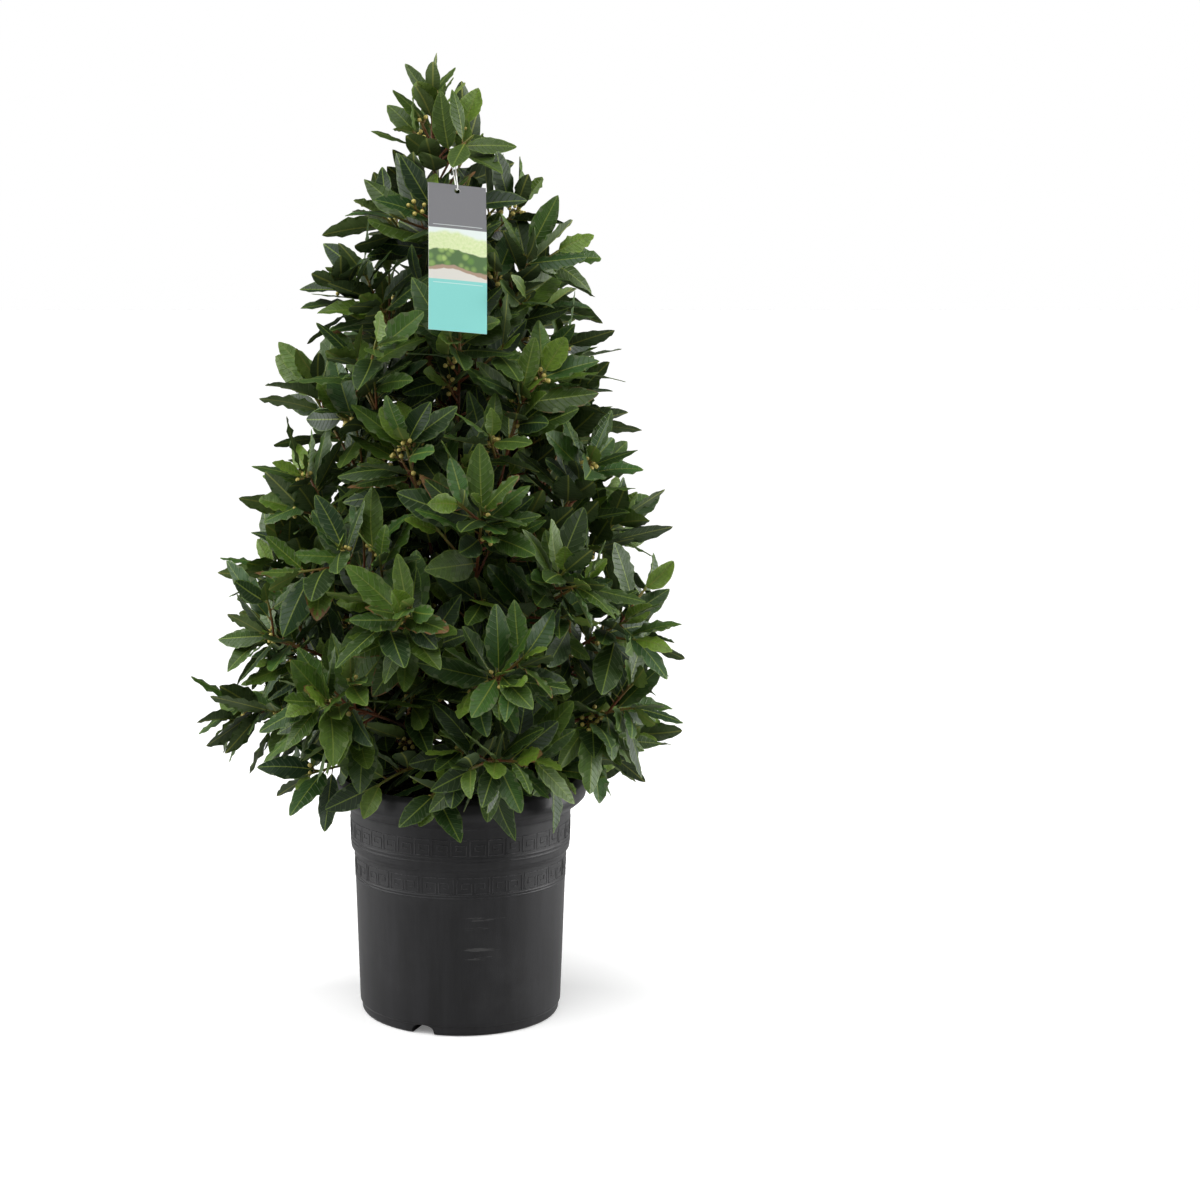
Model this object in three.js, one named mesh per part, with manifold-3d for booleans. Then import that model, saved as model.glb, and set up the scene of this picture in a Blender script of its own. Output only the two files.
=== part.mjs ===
// A bay laurel (Laurus nobilis) trained as a pyramid, in a round nursery pot, with a blank hang tag.
// Millimetres, +Z up. The origin is the centre of the pot's flat underside, and -Y is the front.
//
// The crown grows by rule: limbs leave the trunk by the golden angle, each limb ends in a spray of
// green shoots, and leaves stand round each shoot. Every side shoot and leaf is tried until it is clear
// of what grew before it, so that no spray crosses another.

import * as THREE from 'three';
import { mergeVertices } from 'three/addons/utils/BufferGeometryUtils.js';
import Module from 'manifold-3d';

const wasm = await Module();
wasm.setup();

const vector = (x, y, z) => new THREE.Vector3(x, y, z);
const radians = THREE.MathUtils.degToRad;

// ---------------------------------------------------------------- driving dimensions

const GAP = 0.3; // between pieces that touch

// pot
const POT_HEIGHT = 229;
const RIM_RADIUS = 120;
const RIM_INNER_RADIUS = 109.4;
const LIP_DROP = 22; // from the top of the rolled lip to its lower turn
const COLLAR_RADIUS = 105.2;
const COLLAR_FOOT = 160; // height of the step under the collar
const BODY_TOP_RADIUS = 101.2;
const BODY_FOOT_RADIUS = 96.4;
const FOOT_RADIUS = 92.5;
const FOOT_HEIGHT = 10.5;
const WALL = 2;
const POT_FLOOR = 12;
const POT_SIDES = 32;

// drain channels: low arches in the pot's foot that run in from the wall
const DRAIN_ANGLES = [-112, 8, 128].map(radians);
const DRAIN_HALF_WIDTH = 11;
const DRAIN_HEIGHT = 9.5;
const DRAIN_INNER_END = 62;

// soil
const SOIL_HEIGHT = 204; // at the wall
const SOIL_DOME = 4; // how much higher it stands at the trunk
const ROOT_DEPTH = 55; // how far the trunk stands in the soil

// trunk and limbs
const TRUNK_FOOT_RADIUS = 7.5;
const TRUNK_TOP_RADIUS = 2.2;
const TRUNK_TOP = 785;
const TRUNK_FOOT_X = 9;
const TRUNK_TOP_X = -27;
const TRUNK_SWAY = 5;
const LOWEST_LIMB = 213;
const LIMB_FOOT_RADIUS = 3.2;
const LIMB_END_RADIUS = 1.9;
const LIMB_SHARE = 0.5; // of the way from the trunk to the spray's tip

// crown
const GOLDEN_ANGLE = radians(137.508);
const CROWN_OUTLINE = [ // [height, radius to the leaf tips, x of its middle]
  [190, 140, -14], [225, 190, -16], [262, 220, -17], [310, 234, -17], [400, 222, -15], [450, 203, -7],
  [500, 195, -7], [560, 172, -9], [620, 160, -12], [670, 142, -8], [725, 124, -4], [760, 104, -3],
  [785, 80, -6], [830, 56, -17], [860, 34, -24], [896, 26, -28], [910, 4, -29],
];
const SPRAYS = 42; // and the leader above them
const LOWEST_SPRAY = 252;
const HIGHEST_SPRAY = 772;
const SHOOT_INSET = 40; // shoots end this far inside the leaf tips
const SHOOT_RADIUS = 1.7;
const SIDE_SHOOT_RADIUS = 1.4;
const SHOOT_TIP_RADIUS = 1.2;
const SIDE_SHOOT_AT = 0.35; // of the way along the main shoot
const SIDE_SHOOT_LENGTH = 34;
const LEADER_TIP = vector(-25, -4, 866);

// leaves
const LEAF_LENGTH = [54, 74];
const LEAF_WIDTH_SHARE = 0.38;
const LEAF_ROOT = 1; // how far the stalk's point sinks past the middle of the shoot
const LEAF_STATIONS = [0.1, 0.38, 0.72]; // the end of the stalk, and two across the blade
const LEAF_RIDGE = 0.7; // height of the midrib over the blade's own plane
const LEAF_FOLD = 0.16; // how far the margins fall, as a share of the half width
const LEAF_WAVE = 0.05; // how far the margins wave, as a share of the half width
const LEAST_DROOP = 0.02; // how far a tip bends down, as a share of the leaf's length
const MOST_DROOP = 0.16;
const LOW_SAG = 1; // how much the leaves hang at the crown's foot
const HIGH_SAG = 0.1; // and from here up
const HIGH_SAG_LEVEL = 0.4;

// buds, in clusters on some of the shoots
const SPRAYS_PER_CLUSTER = 3;
const BUDS_IN_CLUSTER = 3;
const BUD_RADIUS = 2.4;
const BUD_STALK = 6.5;
const BUD_STALK_RADIUS = 0.7;

// room that a new leaf or shoot keeps from what has grown, between sample points
const CLEARANCE = 7;
const CLEARANCE_IN_SPRAY = 5.5;
const TRIES = 40;

// hang tag and its string
const TAG_WIDTH = 53;
const TAG_HEIGHT = 134;
const TAG_THICKNESS = 0.8;
const TAG_HOLE = vector(-3, -106, 773); // the middle of its hole
const TAG_HOLE_RADIUS = 2.6;
const TAG_HOLE_INSET = 5.5; // from the top edge
const TAG_ROLL = radians(-5.5);
const TAG_TILT = radians(18.5); // its foot leans out on the leaves
const TAG_YAW = radians(18);
const TAG_ROOM = 6; // kept free of leaves behind and beside the tag
const TAG_SHOOT_TIP = vector(9, -47, 822); // the tip of the shoot that carries it
const STRING_RADIUS = 0.6;

// ---------------------------------------------------------------- materials

const material = (color, roughness) => new THREE.MeshStandardMaterial({ color, roughness, metalness: 0 });
const POT_PLASTIC = material(0x2f3134, 0.55);
const SOIL_EARTH = material(0x1f1712, 0.95);
const BARK = material(0x5a4030, 0.85);
const LEAF_GREEN = material(0x2f4a22, 0.5);
const TAG_CARD = material(0x8cd8d0, 0.35);
const STRING_WHITE = material(0xf2f2ee, 0.6);

// ---------------------------------------------------------------- small tools

const UP = vector(0, 0, 1);
const mix = (a, b, t) => a + (b - a) * t;

/** Park-Miller random numbers from 0 to 1: the same seed always grows the same plant. */
function makeRandom(seed) {
  let state = (seed * 7919 + 1013) % 2147483647;
  const next = () => {
    state = (state * 16807) % 2147483647;
    return state / 2147483647;
  };
  next();
  next();
  return next;
}

/** A manifold solid from a closed indexed geometry, faces out. */
function solidFrom(geometry) {
  const bare = geometry.clone();
  bare.deleteAttribute('normal');
  bare.deleteAttribute('uv');
  const merged = mergeVertices(bare, 1e-4);
  const vertProperties = Float32Array.from(merged.attributes.position.array);
  const triVerts = Uint32Array.from(merged.index.array);
  return new wasm.Manifold(new wasm.Mesh({ numProp: 3, vertProperties, triVerts }));
}

/** A named mesh from a manifold solid. */
function meshFrom(name, solid, look) {
  const { vertProperties, triVerts } = solid.getMesh();
  const geometry = new THREE.BufferGeometry();
  geometry.setAttribute('position', new THREE.BufferAttribute(Float32Array.from(vertProperties), 3));
  geometry.setIndex(new THREE.BufferAttribute(Uint32Array.from(triVerts), 1));
  geometry.computeVertexNormals();
  const mesh = new THREE.Mesh(geometry, look);
  mesh.name = name;
  return mesh;
}

/** An indexed geometry from points and triangles, turned so that its faces point out. */
function geometryFrom(points, triangles) {
  const cross = vector(0, 0, 0);
  let volume = 0;
  for (const [a, b, c] of triangles) volume += points[a].dot(cross.crossVectors(points[b], points[c]));
  const turned = volume < 0 ? triangles.map(([a, b, c]) => [a, c, b]) : triangles;
  const geometry = new THREE.BufferGeometry().setFromPoints(points);
  geometry.setIndex(turned.flat());
  return geometry;
}

/** The triangles of the wall between two rings that start at the given points. */
function wallBetween(first, second, sides) {
  return Array.from({ length: sides }, (_, side) => {
    const next = (side + 1) % sides;
    return [[first + side, first + next, second + next], [first + side, second + next, second + side]];
  }).flat();
}

/** The triangles that close a ring, over a point of their own or flat. */
function lid(first, sides, apex, turn) {
  const fan = apex === null
    ? Array.from({ length: sides - 2 }, (_, side) => [first, first + side + 1, first + side + 2])
    : Array.from({ length: sides }, (_, side) => [apex, first + side, first + ((side + 1) % sides)]);
  return turn ? fan.map(([a, b, c]) => [a, c, b]) : fan;
}

/** A closed body through rings of equal length, with a flat end or a point at each end. */
function loft(rings, startPoint = null, endPoint = null) {
  const points = rings.flat();
  const sides = rings[0].length;
  const last = points.length - sides;
  const triangles = rings.slice(1).flatMap((_, i) => wallBetween(i * sides, (i + 1) * sides, sides));
  triangles.push(...lid(0, sides, startPoint && points.push(startPoint) - 1, true));
  triangles.push(...lid(last, sides, endPoint && points.push(endPoint) - 1, false));
  return geometryFrom(points, triangles);
}

/** A ring of points round a centre, square to a direction, and its guide for the next ring. */
function ringRound({ centre, along, radius }, sides, guide) {
  const start = guide ?? (Math.abs(along.z) > 0.9 ? vector(1, 0, 0) : UP);
  const side = start.clone().addScaledVector(along, -start.dot(along)).normalize();
  const other = along.clone().cross(side);
  const ring = Array.from({ length: sides }, (_, k) => {
    const angle = (k / sides) * 2 * Math.PI;
    return centre.clone()
      .addScaledVector(side, radius * Math.cos(angle))
      .addScaledVector(other, radius * Math.sin(angle));
  });
  return { ring, side };
}

/** Rings along a line of stations, each { centre, along, radius }, without a twist between them. */
function ringsAlong(stations, sides) {
  let guide = null;
  return stations.map((station) => {
    const { ring, side } = ringRound(station, sides, guide);
    guide = side;
    return ring;
  });
}

/** A point on the curve with three control points. */
function bend([p0, p1, p2], t) {
  return p0.clone().multiplyScalar((1 - t) * (1 - t))
    .addScaledVector(p1, 2 * t * (1 - t))
    .addScaledVector(p2, t * t);
}

function bendDirection([p0, p1, p2], t) {
  return p1.clone().sub(p0).multiplyScalar(1 - t)
    .addScaledVector(p2.clone().sub(p1), t)
    .normalize();
}

/** A tapered tube along part of a curve, with few sides and flat ends. */
function taperedTube(curve, [from, to], [startRadius, endRadius], segments, sides) {
  const stations = Array.from({ length: segments + 1 }, (_, i) => {
    const t = mix(from, to, i / segments);
    const radius = mix(startRadius, endRadius, i / segments);
    return { centre: bend(curve, t), along: bendDirection(curve, t), radius };
  });
  return solidFrom(loft(ringsAlong(stations, sides)));
}

/** The share of a curve just past a given one, past the gap to the wood that ends there. */
const justPast = (curve, share) => share + GAP / curve[0].distanceTo(curve[2]);

/** Points along part of a curve. */
function pointsAlong(curve, from, to, segments) {
  return Array.from({ length: segments + 1 }, (_, i) => bend(curve, mix(from, to, i / segments)));
}

// ---------------------------------------------------------------- pot and soil

/** A low arch that runs in from outside the wall, along +X, standing on the ground plane. */
function drainArch() {
  const spring = DRAIN_HEIGHT * 0.35; // the arch starts to curve here
  const shape = new THREE.Shape();
  shape.moveTo(DRAIN_HALF_WIDTH, -1);
  shape.lineTo(DRAIN_HALF_WIDTH, spring);
  shape.absellipse(0, spring, DRAIN_HALF_WIDTH, DRAIN_HEIGHT - spring, 0, Math.PI);
  shape.lineTo(-DRAIN_HALF_WIDTH, -1);
  shape.closePath();
  const depth = RIM_RADIUS - DRAIN_INNER_END;
  const arch = new THREE.ExtrudeGeometry(shape, { depth, bevelEnabled: false, curveSegments: 4 });
  arch.rotateX(Math.PI / 2); // its height becomes +Z, and it runs along -Y
  arch.translate(0, -DRAIN_INNER_END, 0);
  return arch.rotateZ(Math.PI / 2);
}

/** The outside of the pot from the underside to the top of the lip, as [radius, height]. */
function potOutside() {
  const lipFoot = POT_HEIGHT - LIP_DROP;
  return [
    [FOOT_RADIUS, 0], [FOOT_RADIUS + 2, 2.5], [FOOT_RADIUS + 2.2, FOOT_HEIGHT - 2],
    [BODY_FOOT_RADIUS, FOOT_HEIGHT], [BODY_TOP_RADIUS, COLLAR_FOOT - 3],
    [COLLAR_RADIUS - 0.8, COLLAR_FOOT + 1], [COLLAR_RADIUS, lipFoot - 8],
    [RIM_RADIUS - 4.5, lipFoot], [RIM_RADIUS - 0.7, lipFoot + 4], [RIM_RADIUS, lipFoot + 9],
    [RIM_RADIUS - 2, POT_HEIGHT - 4.5], [RIM_RADIUS - 7, POT_HEIGHT],
  ];
}

/** The inside of the pot from the lip down to the floor. */
function potInside() {
  return [
    [RIM_INNER_RADIUS, POT_HEIGHT - 1.6], [COLLAR_RADIUS - WALL, POT_HEIGHT - LIP_DROP - 8],
    [COLLAR_RADIUS - 0.8 - WALL, COLLAR_FOOT + 1], [BODY_TOP_RADIUS - WALL, COLLAR_FOOT - 3],
    [BODY_FOOT_RADIUS - WALL, POT_FLOOR],
  ];
}

/** A solid turned round the pot's axis from an outline that starts and ends on it. */
function turned(outline) {
  const closed = [[0, outline[0][1]], ...outline, [0, outline.at(-1)[1]]];
  const points = closed.map(([radius, height]) => new THREE.Vector2(radius, height));
  return solidFrom(new THREE.LatheGeometry(points, POT_SIDES).rotateX(Math.PI / 2));
}

function makePot() {
  const cup = turned([...potOutside(), ...potInside()]);
  const drains = DRAIN_ANGLES.map((angle) => solidFrom(drainArch().rotateZ(angle)));
  return meshFrom('pot', drains.reduce((pot, drain) => pot.subtract(drain), cup), POT_PLASTIC);
}

/** The soil fills the pot to below its lip and leaves a plain hole for the trunk. */
function makeSoil() {
  const wall = potInside().slice(3).reverse().map(([radius, height]) => [radius - 1.5 * GAP, height]);
  wall[0][1] += GAP;
  const earth = turned([...wall, [wall[1][0] + 3, SOIL_HEIGHT], [20, SOIL_HEIGHT + SOIL_DOME]]);
  return meshFrom('soil', earth.subtract(trunkSolid(GAP)), SOIL_EARTH);
}

// ---------------------------------------------------------------- trunk and limbs

/** The crown's radius and the x of its middle at a height, straight between the outline's points. */
function crownAt(height) {
  const above = CROWN_OUTLINE.findIndex(([z]) => z > height);
  if (above < 1) return [0, CROWN_OUTLINE.at(above)[2]];
  const [[z0, ...low], [z1, ...high]] = CROWN_OUTLINE.slice(above - 1, above + 1);
  return low.map((value, i) => mix(value, high[i], (height - z0) / (z1 - z0)));
}

const crownRadius = (height) => crownAt(height)[0];
const crownMiddle = (height) => vector(crownAt(height)[1], 0, height);

/** The trunk's middle line, which leans to the left towards the top. */
function trunkPoint(height) {
  const t = (height - SOIL_HEIGHT) / (TRUNK_TOP - SOIL_HEIGHT);
  const sway = TRUNK_SWAY * Math.sin(4.2 * t);
  return vector(mix(TRUNK_FOOT_X, TRUNK_TOP_X, 0.35 * t + 0.65 * t * t * t) - sway, 0.8 * sway, height);
}

function trunkRadius(height) {
  const t = (height - SOIL_HEIGHT) / (TRUNK_TOP - SOIL_HEIGHT);
  return mix(TRUNK_FOOT_RADIUS, TRUNK_TOP_RADIUS, Math.min(1, Math.max(0, t)) ** 0.8);
}

/** The trunk, or its shape grown by a margin on every side but the top. */
function trunkSolid(margin) {
  const heights = [SOIL_HEIGHT - ROOT_DEPTH - margin, SOIL_HEIGHT + 10, 300, 420, 540, 670, TRUNK_TOP];
  const stations = heights.map((height) => ({
    centre: trunkPoint(height),
    along: trunkPoint(height + 1).sub(trunkPoint(height - 1)).normalize(),
    radius: trunkRadius(height) + margin,
  }));
  return solidFrom(loft(ringsAlong(stations, 6)));
}

/** Points all over the trunk's surface above the soil. */
function trunkPoints() {
  const rows = Math.round((TRUNK_TOP - SOIL_HEIGHT) / 6);
  return Array.from({ length: 3 * rows }, (_, i) => {
    const height = mix(SOIL_HEIGHT, TRUNK_TOP, i / (3 * rows));
    const angle = (i * 2 * Math.PI) / 3;
    const radius = trunkRadius(height);
    return trunkPoint(height).add(vector(radius * Math.cos(angle), radius * Math.sin(angle), 0));
  });
}

/** Heights of the sprays' tips, each with an equal share of the crown's surface. */
function sprayHeights() {
  const sums = [];
  let total = 0;
  for (let z = LOWEST_SPRAY; z <= HIGHEST_SPRAY; z += 1) {
    total += crownRadius(z);
    sums.push(total);
  }
  const heightAt = (share) => LOWEST_SPRAY + sums.findIndex((sum) => sum >= share * total);
  return Array.from({ length: SPRAYS }, (_, k) => heightAt((k + 0.5) / SPRAYS));
}

/** How far up the crown a spray stands, from 0 to 1. */
const sprayLevel = (height) => (height - LOWEST_SPRAY) / (HIGHEST_SPRAY - LOWEST_SPRAY);

/** Where spray k may grow: a curve from the trunk to the tip of its main shoot. */
function sprayCurve(random, height, k) {
  const level = sprayLevel(height);
  const azimuth = k * GOLDEN_ANGLE + 0.4 * (random() - 0.5);
  const reach = crownRadius(height) - SHOOT_INSET - 6 * random();
  const rise = reach * Math.tan(mix(0.2, 1.1, Math.min(1, 1.8 * level)));
  const footHeight = Math.max(height - rise, LOWEST_LIMB + 30 * level + 0.35 * k);
  const foot = trunkPoint(footHeight);
  const tip = crownMiddle(height).add(vector(Math.cos(azimuth), Math.sin(azimuth), 0).multiplyScalar(reach));
  const elbow = foot.clone().lerp(tip, 0.5);
  elbow.z += (height - footHeight) * mix(0.3, -0.12, level);
  return [foot, elbow, tip];
}

function limbSolid(curve) {
  const footRadius = Math.min(LIMB_FOOT_RADIUS, 0.8 * trunkRadius(curve[0].z));
  return taperedTube(curve, [0, LIMB_SHARE], [footRadius, LIMB_END_RADIUS], 2, 3);
}

function makeWood(curves) {
  const wood = curves.reduce((whole, curve) => whole.add(limbSolid(curve)), trunkSolid(0));
  return meshFrom('trunk_and_limbs', wood, BARK);
}

// ---------------------------------------------------------------- hang tag

/** The tag's own axes: across, up along the card, and out of its printed face. */
function tagAxes() {
  const turn = new THREE.Euler(-TAG_TILT, 0, TAG_YAW, 'ZYX');
  const [across, up, out] = [vector(1, 0, 0), vector(0, 0, 1), vector(0, -1, 0)];
  across.applyAxisAngle(vector(0, 1, 0), -TAG_ROLL).applyEuler(turn);
  up.applyAxisAngle(vector(0, 1, 0), -TAG_ROLL).applyEuler(turn);
  return { across, up, out: out.applyEuler(turn) };
}

/** A place given along the tag's axes from the middle of its hole. */
function onTag(x, y, z) {
  const { across, up, out } = tagAxes();
  return TAG_HOLE.clone().addScaledVector(across, x).addScaledVector(up, y).addScaledVector(out, z);
}

function makeTag() {
  const [left, low] = [-TAG_WIDTH / 2, TAG_HOLE_INSET - TAG_HEIGHT];
  const card = new THREE.Shape();
  card.moveTo(left, low);
  card.lineTo(-left, low);
  card.lineTo(-left, TAG_HOLE_INSET);
  card.lineTo(left, TAG_HOLE_INSET);
  card.closePath();
  card.holes.push(new THREE.Path().absarc(0, 0, TAG_HOLE_RADIUS, 0, 2 * Math.PI, true));
  const thickness = { depth: TAG_THICKNESS, bevelEnabled: false, curveSegments: 5 };
  const plate = new THREE.ExtrudeGeometry(card, thickness);
  plate.translate(0, 0, -TAG_THICKNESS / 2);
  const { across, up, out } = tagAxes();
  plate.applyMatrix4(new THREE.Matrix4().makeBasis(across, up, out).setPosition(TAG_HOLE));
  return meshFrom('tag', solidFrom(plate), TAG_CARD);
}

/** The shoot under the leader that carries the tag. */
function tagShootCurve() {
  const root = bend(leaderCurve(), 0.2);
  const elbow = root.clone().lerp(TAG_SHOOT_TIP, 0.5).addScaledVector(UP, -3);
  return [root, elbow, TAG_SHOOT_TIP];
}

/** The middle line of the string: a closed loop through the tag's hole and over its shoot. */
function stringRoute() {
  const shoot = bend(tagShootCurve(), 0.5);
  const along = bendDirection(tagShootCurve(), 0.5);
  const pull = onTag(0, 12, -3).sub(shoot);
  pull.addScaledVector(along, -pull.dot(along)).normalize(); // square to the shoot, towards the tag
  const beside = along.clone().cross(pull);
  const wrap = SHOOT_RADIUS + STRING_RADIUS + GAP;
  const round = (angle) => shoot.clone()
    .addScaledVector(pull, -wrap * Math.cos(angle))
    .addScaledVector(beside, wrap * Math.sin(angle));
  const seat = TAG_HOLE_RADIUS - STRING_RADIUS - GAP;
  return [
    onTag(0, seat, 1.3), onTag(0, TAG_HOLE_INSET - 1, 1.9), onTag(0, TAG_HOLE_INSET + 1.6, 0.6),
    round(1.5), round(0.75), round(0), round(-0.75), round(-1.5),
    onTag(0, seat + 1.5, -2.2), onTag(0, seat, -1.3),
  ];
}

/** Points along the string, close enough to feel a leaf that would cross it. */
function stringPoints() {
  const route = stringRoute();
  return route.flatMap((point, i) => {
    const next = route[(i + 1) % route.length];
    return Array.from({ length: 8 }, (_, j) => point.clone().lerp(next, j / 8));
  });
}

function makeString() {
  const route = stringRoute();
  const stations = route.map((centre, i) => {
    const before = route.at(i - 1);
    const after = route[(i + 1) % route.length];
    const [arriving, leaving] = [centre.clone().sub(before), after.clone().sub(centre)];
    const along = arriving.normalize().add(leaving.normalize()).normalize();
    return { centre, along, radius: STRING_RADIUS };
  });
  const sides = 5;
  const rings = ringsAlong(stations, sides);
  const triangles = rings.flatMap((_, i) => wallBetween(i * sides, ((i + 1) % rings.length) * sides, sides));
  return meshFrom('tag_string', solidFrom(geometryFrom(rings.flat(), triangles)), STRING_WHITE);
}

// ---------------------------------------------------------------- growth: what is in the way

/** What has grown so far, as clouds of sample points with a bounding ball each. */
const grown = [];
const STRING_OWNER = -2;
const WOOD_OWNER = -1; // limbs may come as near to each other as they like

/** Inner points, the first ones, don't count between two clouds of one owner. */
function cloudFrom(points, owner, inner = 0) {
  const centre = new THREE.Box3().setFromPoints(points).getCenter(vector(0, 0, 0));
  const reach = Math.max(...points.map((point) => point.distanceTo(centre)));
  return { points, owner, inner, centre, reach };
}

/** Whether two clouds come nearer than they may. */
function tooNear(a, b) {
  const same = a.owner === b.owner;
  if (same && a.owner === WOOD_OWNER) return false;
  const room = same ? CLEARANCE_IN_SPRAY : CLEARANCE;
  if (a.centre.distanceTo(b.centre) > a.reach + b.reach + room) return false;
  for (let i = same ? a.inner : 0; i < a.points.length; i += 1) {
    for (let j = same ? b.inner : 0; j < b.points.length; j += 1) {
      if (a.points[i].distanceToSquared(b.points[j]) < room * room) return true;
    }
  }
  return false;
}

/** Whether a point lies in the pot or its soil, or just off their surface. */
function inPot(point) {
  const radius = Math.hypot(point.x, point.y);
  if (point.z > POT_HEIGHT + 3 || radius > RIM_RADIUS + 3) return false;
  return radius > RIM_INNER_RADIUS - 6 || point.z < SOIL_HEIGHT + SOIL_DOME + 4;
}

/** Whether a point hides the tag from the front, or comes near its back. */
function hidesTag(point) {
  const { across, up, out } = tagAxes();
  const from = point.clone().sub(TAG_HOLE);
  const [x, y, z] = [from.dot(across), from.dot(up), from.dot(out)];
  const inWidth = Math.abs(x) < TAG_WIDTH / 2 + TAG_ROOM;
  const inHeight = Math.abs(y - TAG_HOLE_INSET + TAG_HEIGHT / 2) < TAG_HEIGHT / 2 + TAG_ROOM;
  return inWidth && inHeight && z > -TAG_ROOM;
}

/** Whether a point sticks out of the crown by more than a margin. */
function outsideCrown(point, margin) {
  const middle = crownMiddle(point.z);
  return Math.hypot(point.x - middle.x, point.y - middle.y) > crownRadius(point.z) + margin;
}

function isClear(cloud) {
  if (cloud.points.some((point) => inPot(point) || hidesTag(point))) return false;
  return !grown.some((other) => tooNear(cloud, other));
}

// ---------------------------------------------------------------- growth: leaves and shoots

/** The half width of a blade at s, from 0 at its root to 1 at its tip, as a share of its widest. */
function bladeShape(s) {
  const q = Math.max(0, (s - 0.1) / 0.9);
  return s < 1 ? Math.max(0.09, Math.sin(Math.PI * q ** 0.85) ** 0.9) : 0;
}

/** A point on a leaf: s runs from root to tip, t from -1 to 1 across, lift stands off its face. */
function leafPoint(leaf, s, t, lift) {
  const half = 0.5 * leaf.width * bladeShape(s);
  const wave = LEAF_WAVE * Math.sin(9 * s + leaf.phase + (t > 0 ? 2 : 0));
  const height = -leaf.droop * leaf.length * s * s + half * Math.abs(t) * (wave - LEAF_FOLD) + lift;
  return leaf.root.clone()
    .addScaledVector(leaf.along, leaf.length * s)
    .addScaledVector(leaf.across, half * t)
    .addScaledVector(leaf.face, height);
}

const SAMPLE_ROWS = [0.12, 0.24, 0.37, 0.5, 0.62, 0.74, 0.86, 0.97];
const SAMPLE_COLUMNS = [-0.9, -0.45, 0, 0.45, 0.9];

function leafCloud(leaf, owner) {
  const points = SAMPLE_ROWS.flatMap((s) => SAMPLE_COLUMNS.map((t) => leafPoint(leaf, s, t, 0)));
  return cloudFrom(points, owner, SAMPLE_COLUMNS.length);
}

/** A direction that leans off a shoot by an angle, at an azimuth round it. */
function leanFrom(direction, lean, azimuth) {
  const guide = Math.abs(direction.z) > 0.9 ? vector(1, 0, 0) : UP;
  const side = guide.clone().addScaledVector(direction, -guide.dot(direction)).normalize();
  const other = direction.clone().cross(side);
  return direction.clone().multiplyScalar(Math.cos(lean))
    .addScaledVector(side, Math.sin(lean) * Math.cos(azimuth))
    .addScaledVector(other, Math.sin(lean) * Math.sin(azimuth));
}

/** One leaf, drawn at random about its place on the shoot, with its face turned up and out. */
function drawLeaf(random, root, direction, { azimuth, lean, size, sag }) {
  const along = leanFrom(direction, lean + 0.5 * (random() - 0.5), azimuth + 0.9 * (random() - 0.5));
  along.z -= sag * random();
  along.normalize();
  const outward = vector(root.x, root.y, 0).normalize();
  const face = vector(0.5 * (random() - 0.5), 0.5 * (random() - 0.5), 0.75).addScaledVector(outward, 0.65);
  face.addScaledVector(along, -face.dot(along)).normalize();
  const length = size * mix(LEAF_LENGTH[0], LEAF_LENGTH[1], random());
  const width = LEAF_WIDTH_SHARE * length;
  const droop = mix(LEAST_DROOP, MOST_DROOP, random());
  const phase = 2 * Math.PI * random();
  return { root, along, face, across: along.clone().cross(face), length, width, droop, phase };
}

/** Tries to grow a leaf, and gives it or null. */
function growLeaf(random, owner, root, direction, place) {
  for (let i = 0; i < TRIES; i += 1) {
    const leaf = drawLeaf(random, root, direction, place);
    const cloud = leafCloud(leaf, owner);
    if (!outsideCrown(leafPoint(leaf, 1, 0, 0), 10) && isClear(cloud)) {
      grown.push(cloud);
      return leaf;
    }
  }
  return null;
}

/** Tries curves for spray k until its limb and its main shoot are clear, and gives the last one tried. */
function growSpray(height, k) {
  const random = makeRandom(500 + k);
  for (let i = 0; ; i += 1) {
    const curve = sprayCurve(random, height, k);
    const limb = cloudFrom(pointsAlong(curve, 0, LIMB_SHARE, 16), WOOD_OWNER);
    const shoot = cloudFrom(pointsAlong(curve, LIMB_SHARE, 1, 12), k, 3);
    if (i === TRIES || (isClear(limb) && isClear(shoot))) {
      grown.push(limb, shoot);
      return curve;
    }
  }
}

/** Tries to grow a side shoot, and gives its curve or null. */
function growSideShoot(random, owner, root, direction, azimuth, length) {
  for (let i = 0; i < TRIES; i += 1) {
    const heading = leanFrom(direction, 0.75 + 0.5 * (random() - 0.5), azimuth + 1.2 * (random() - 0.5));
    const reach = length * mix(0.85, 1.15, random());
    const tip = root.clone().addScaledVector(heading, reach);
    const elbow = root.clone().lerp(tip, 0.5).addScaledVector(direction, -0.06 * reach);
    const cloud = cloudFrom(pointsAlong([root, elbow, tip], 0.15, 1, 8), owner, 3);
    if (!outsideCrown(tip, -20) && isClear(cloud)) {
      grown.push(cloud);
      return [root, elbow, tip];
    }
  }
  return null;
}

// ---------------------------------------------------------------- sprays

/** Where leaves stand on a shoot: [distance from its tip, lean off it, size]. */
const MAIN_LEAVES = [
  [1, 0.25, 0.85], [6, 0.8, 0.95], [12, 0.95, 1], [20, 1.05, 1], [30, 1.1, 1], [41, 1.15, 1],
];
const SIDE_LEAVES = [[1, 0.35, 0.9], [9, 0.95, 1]];
const LEADER_LEAVES = [
  [1, 0.2, 0.56], [4, 0.42, 0.56], [9, 0.6, 0.62], [15, 0.7, 0.68], [23, 0.8, 0.75],
  [33, 0.9, 0.8], [44, 1, 0.85], [58, 1.05, 0.9],
];
const TAG_SHOOT_LEAVES = [[1, 0.35, 0.8], [8, 0.9, 0.85], [16, 1, 0.9]];

function mainShoot(curve) {
  return { curve, from: justPast(curve, LIMB_SHARE), radius: SHOOT_RADIUS, segments: 2, leaves: MAIN_LEAVES };
}

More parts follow.
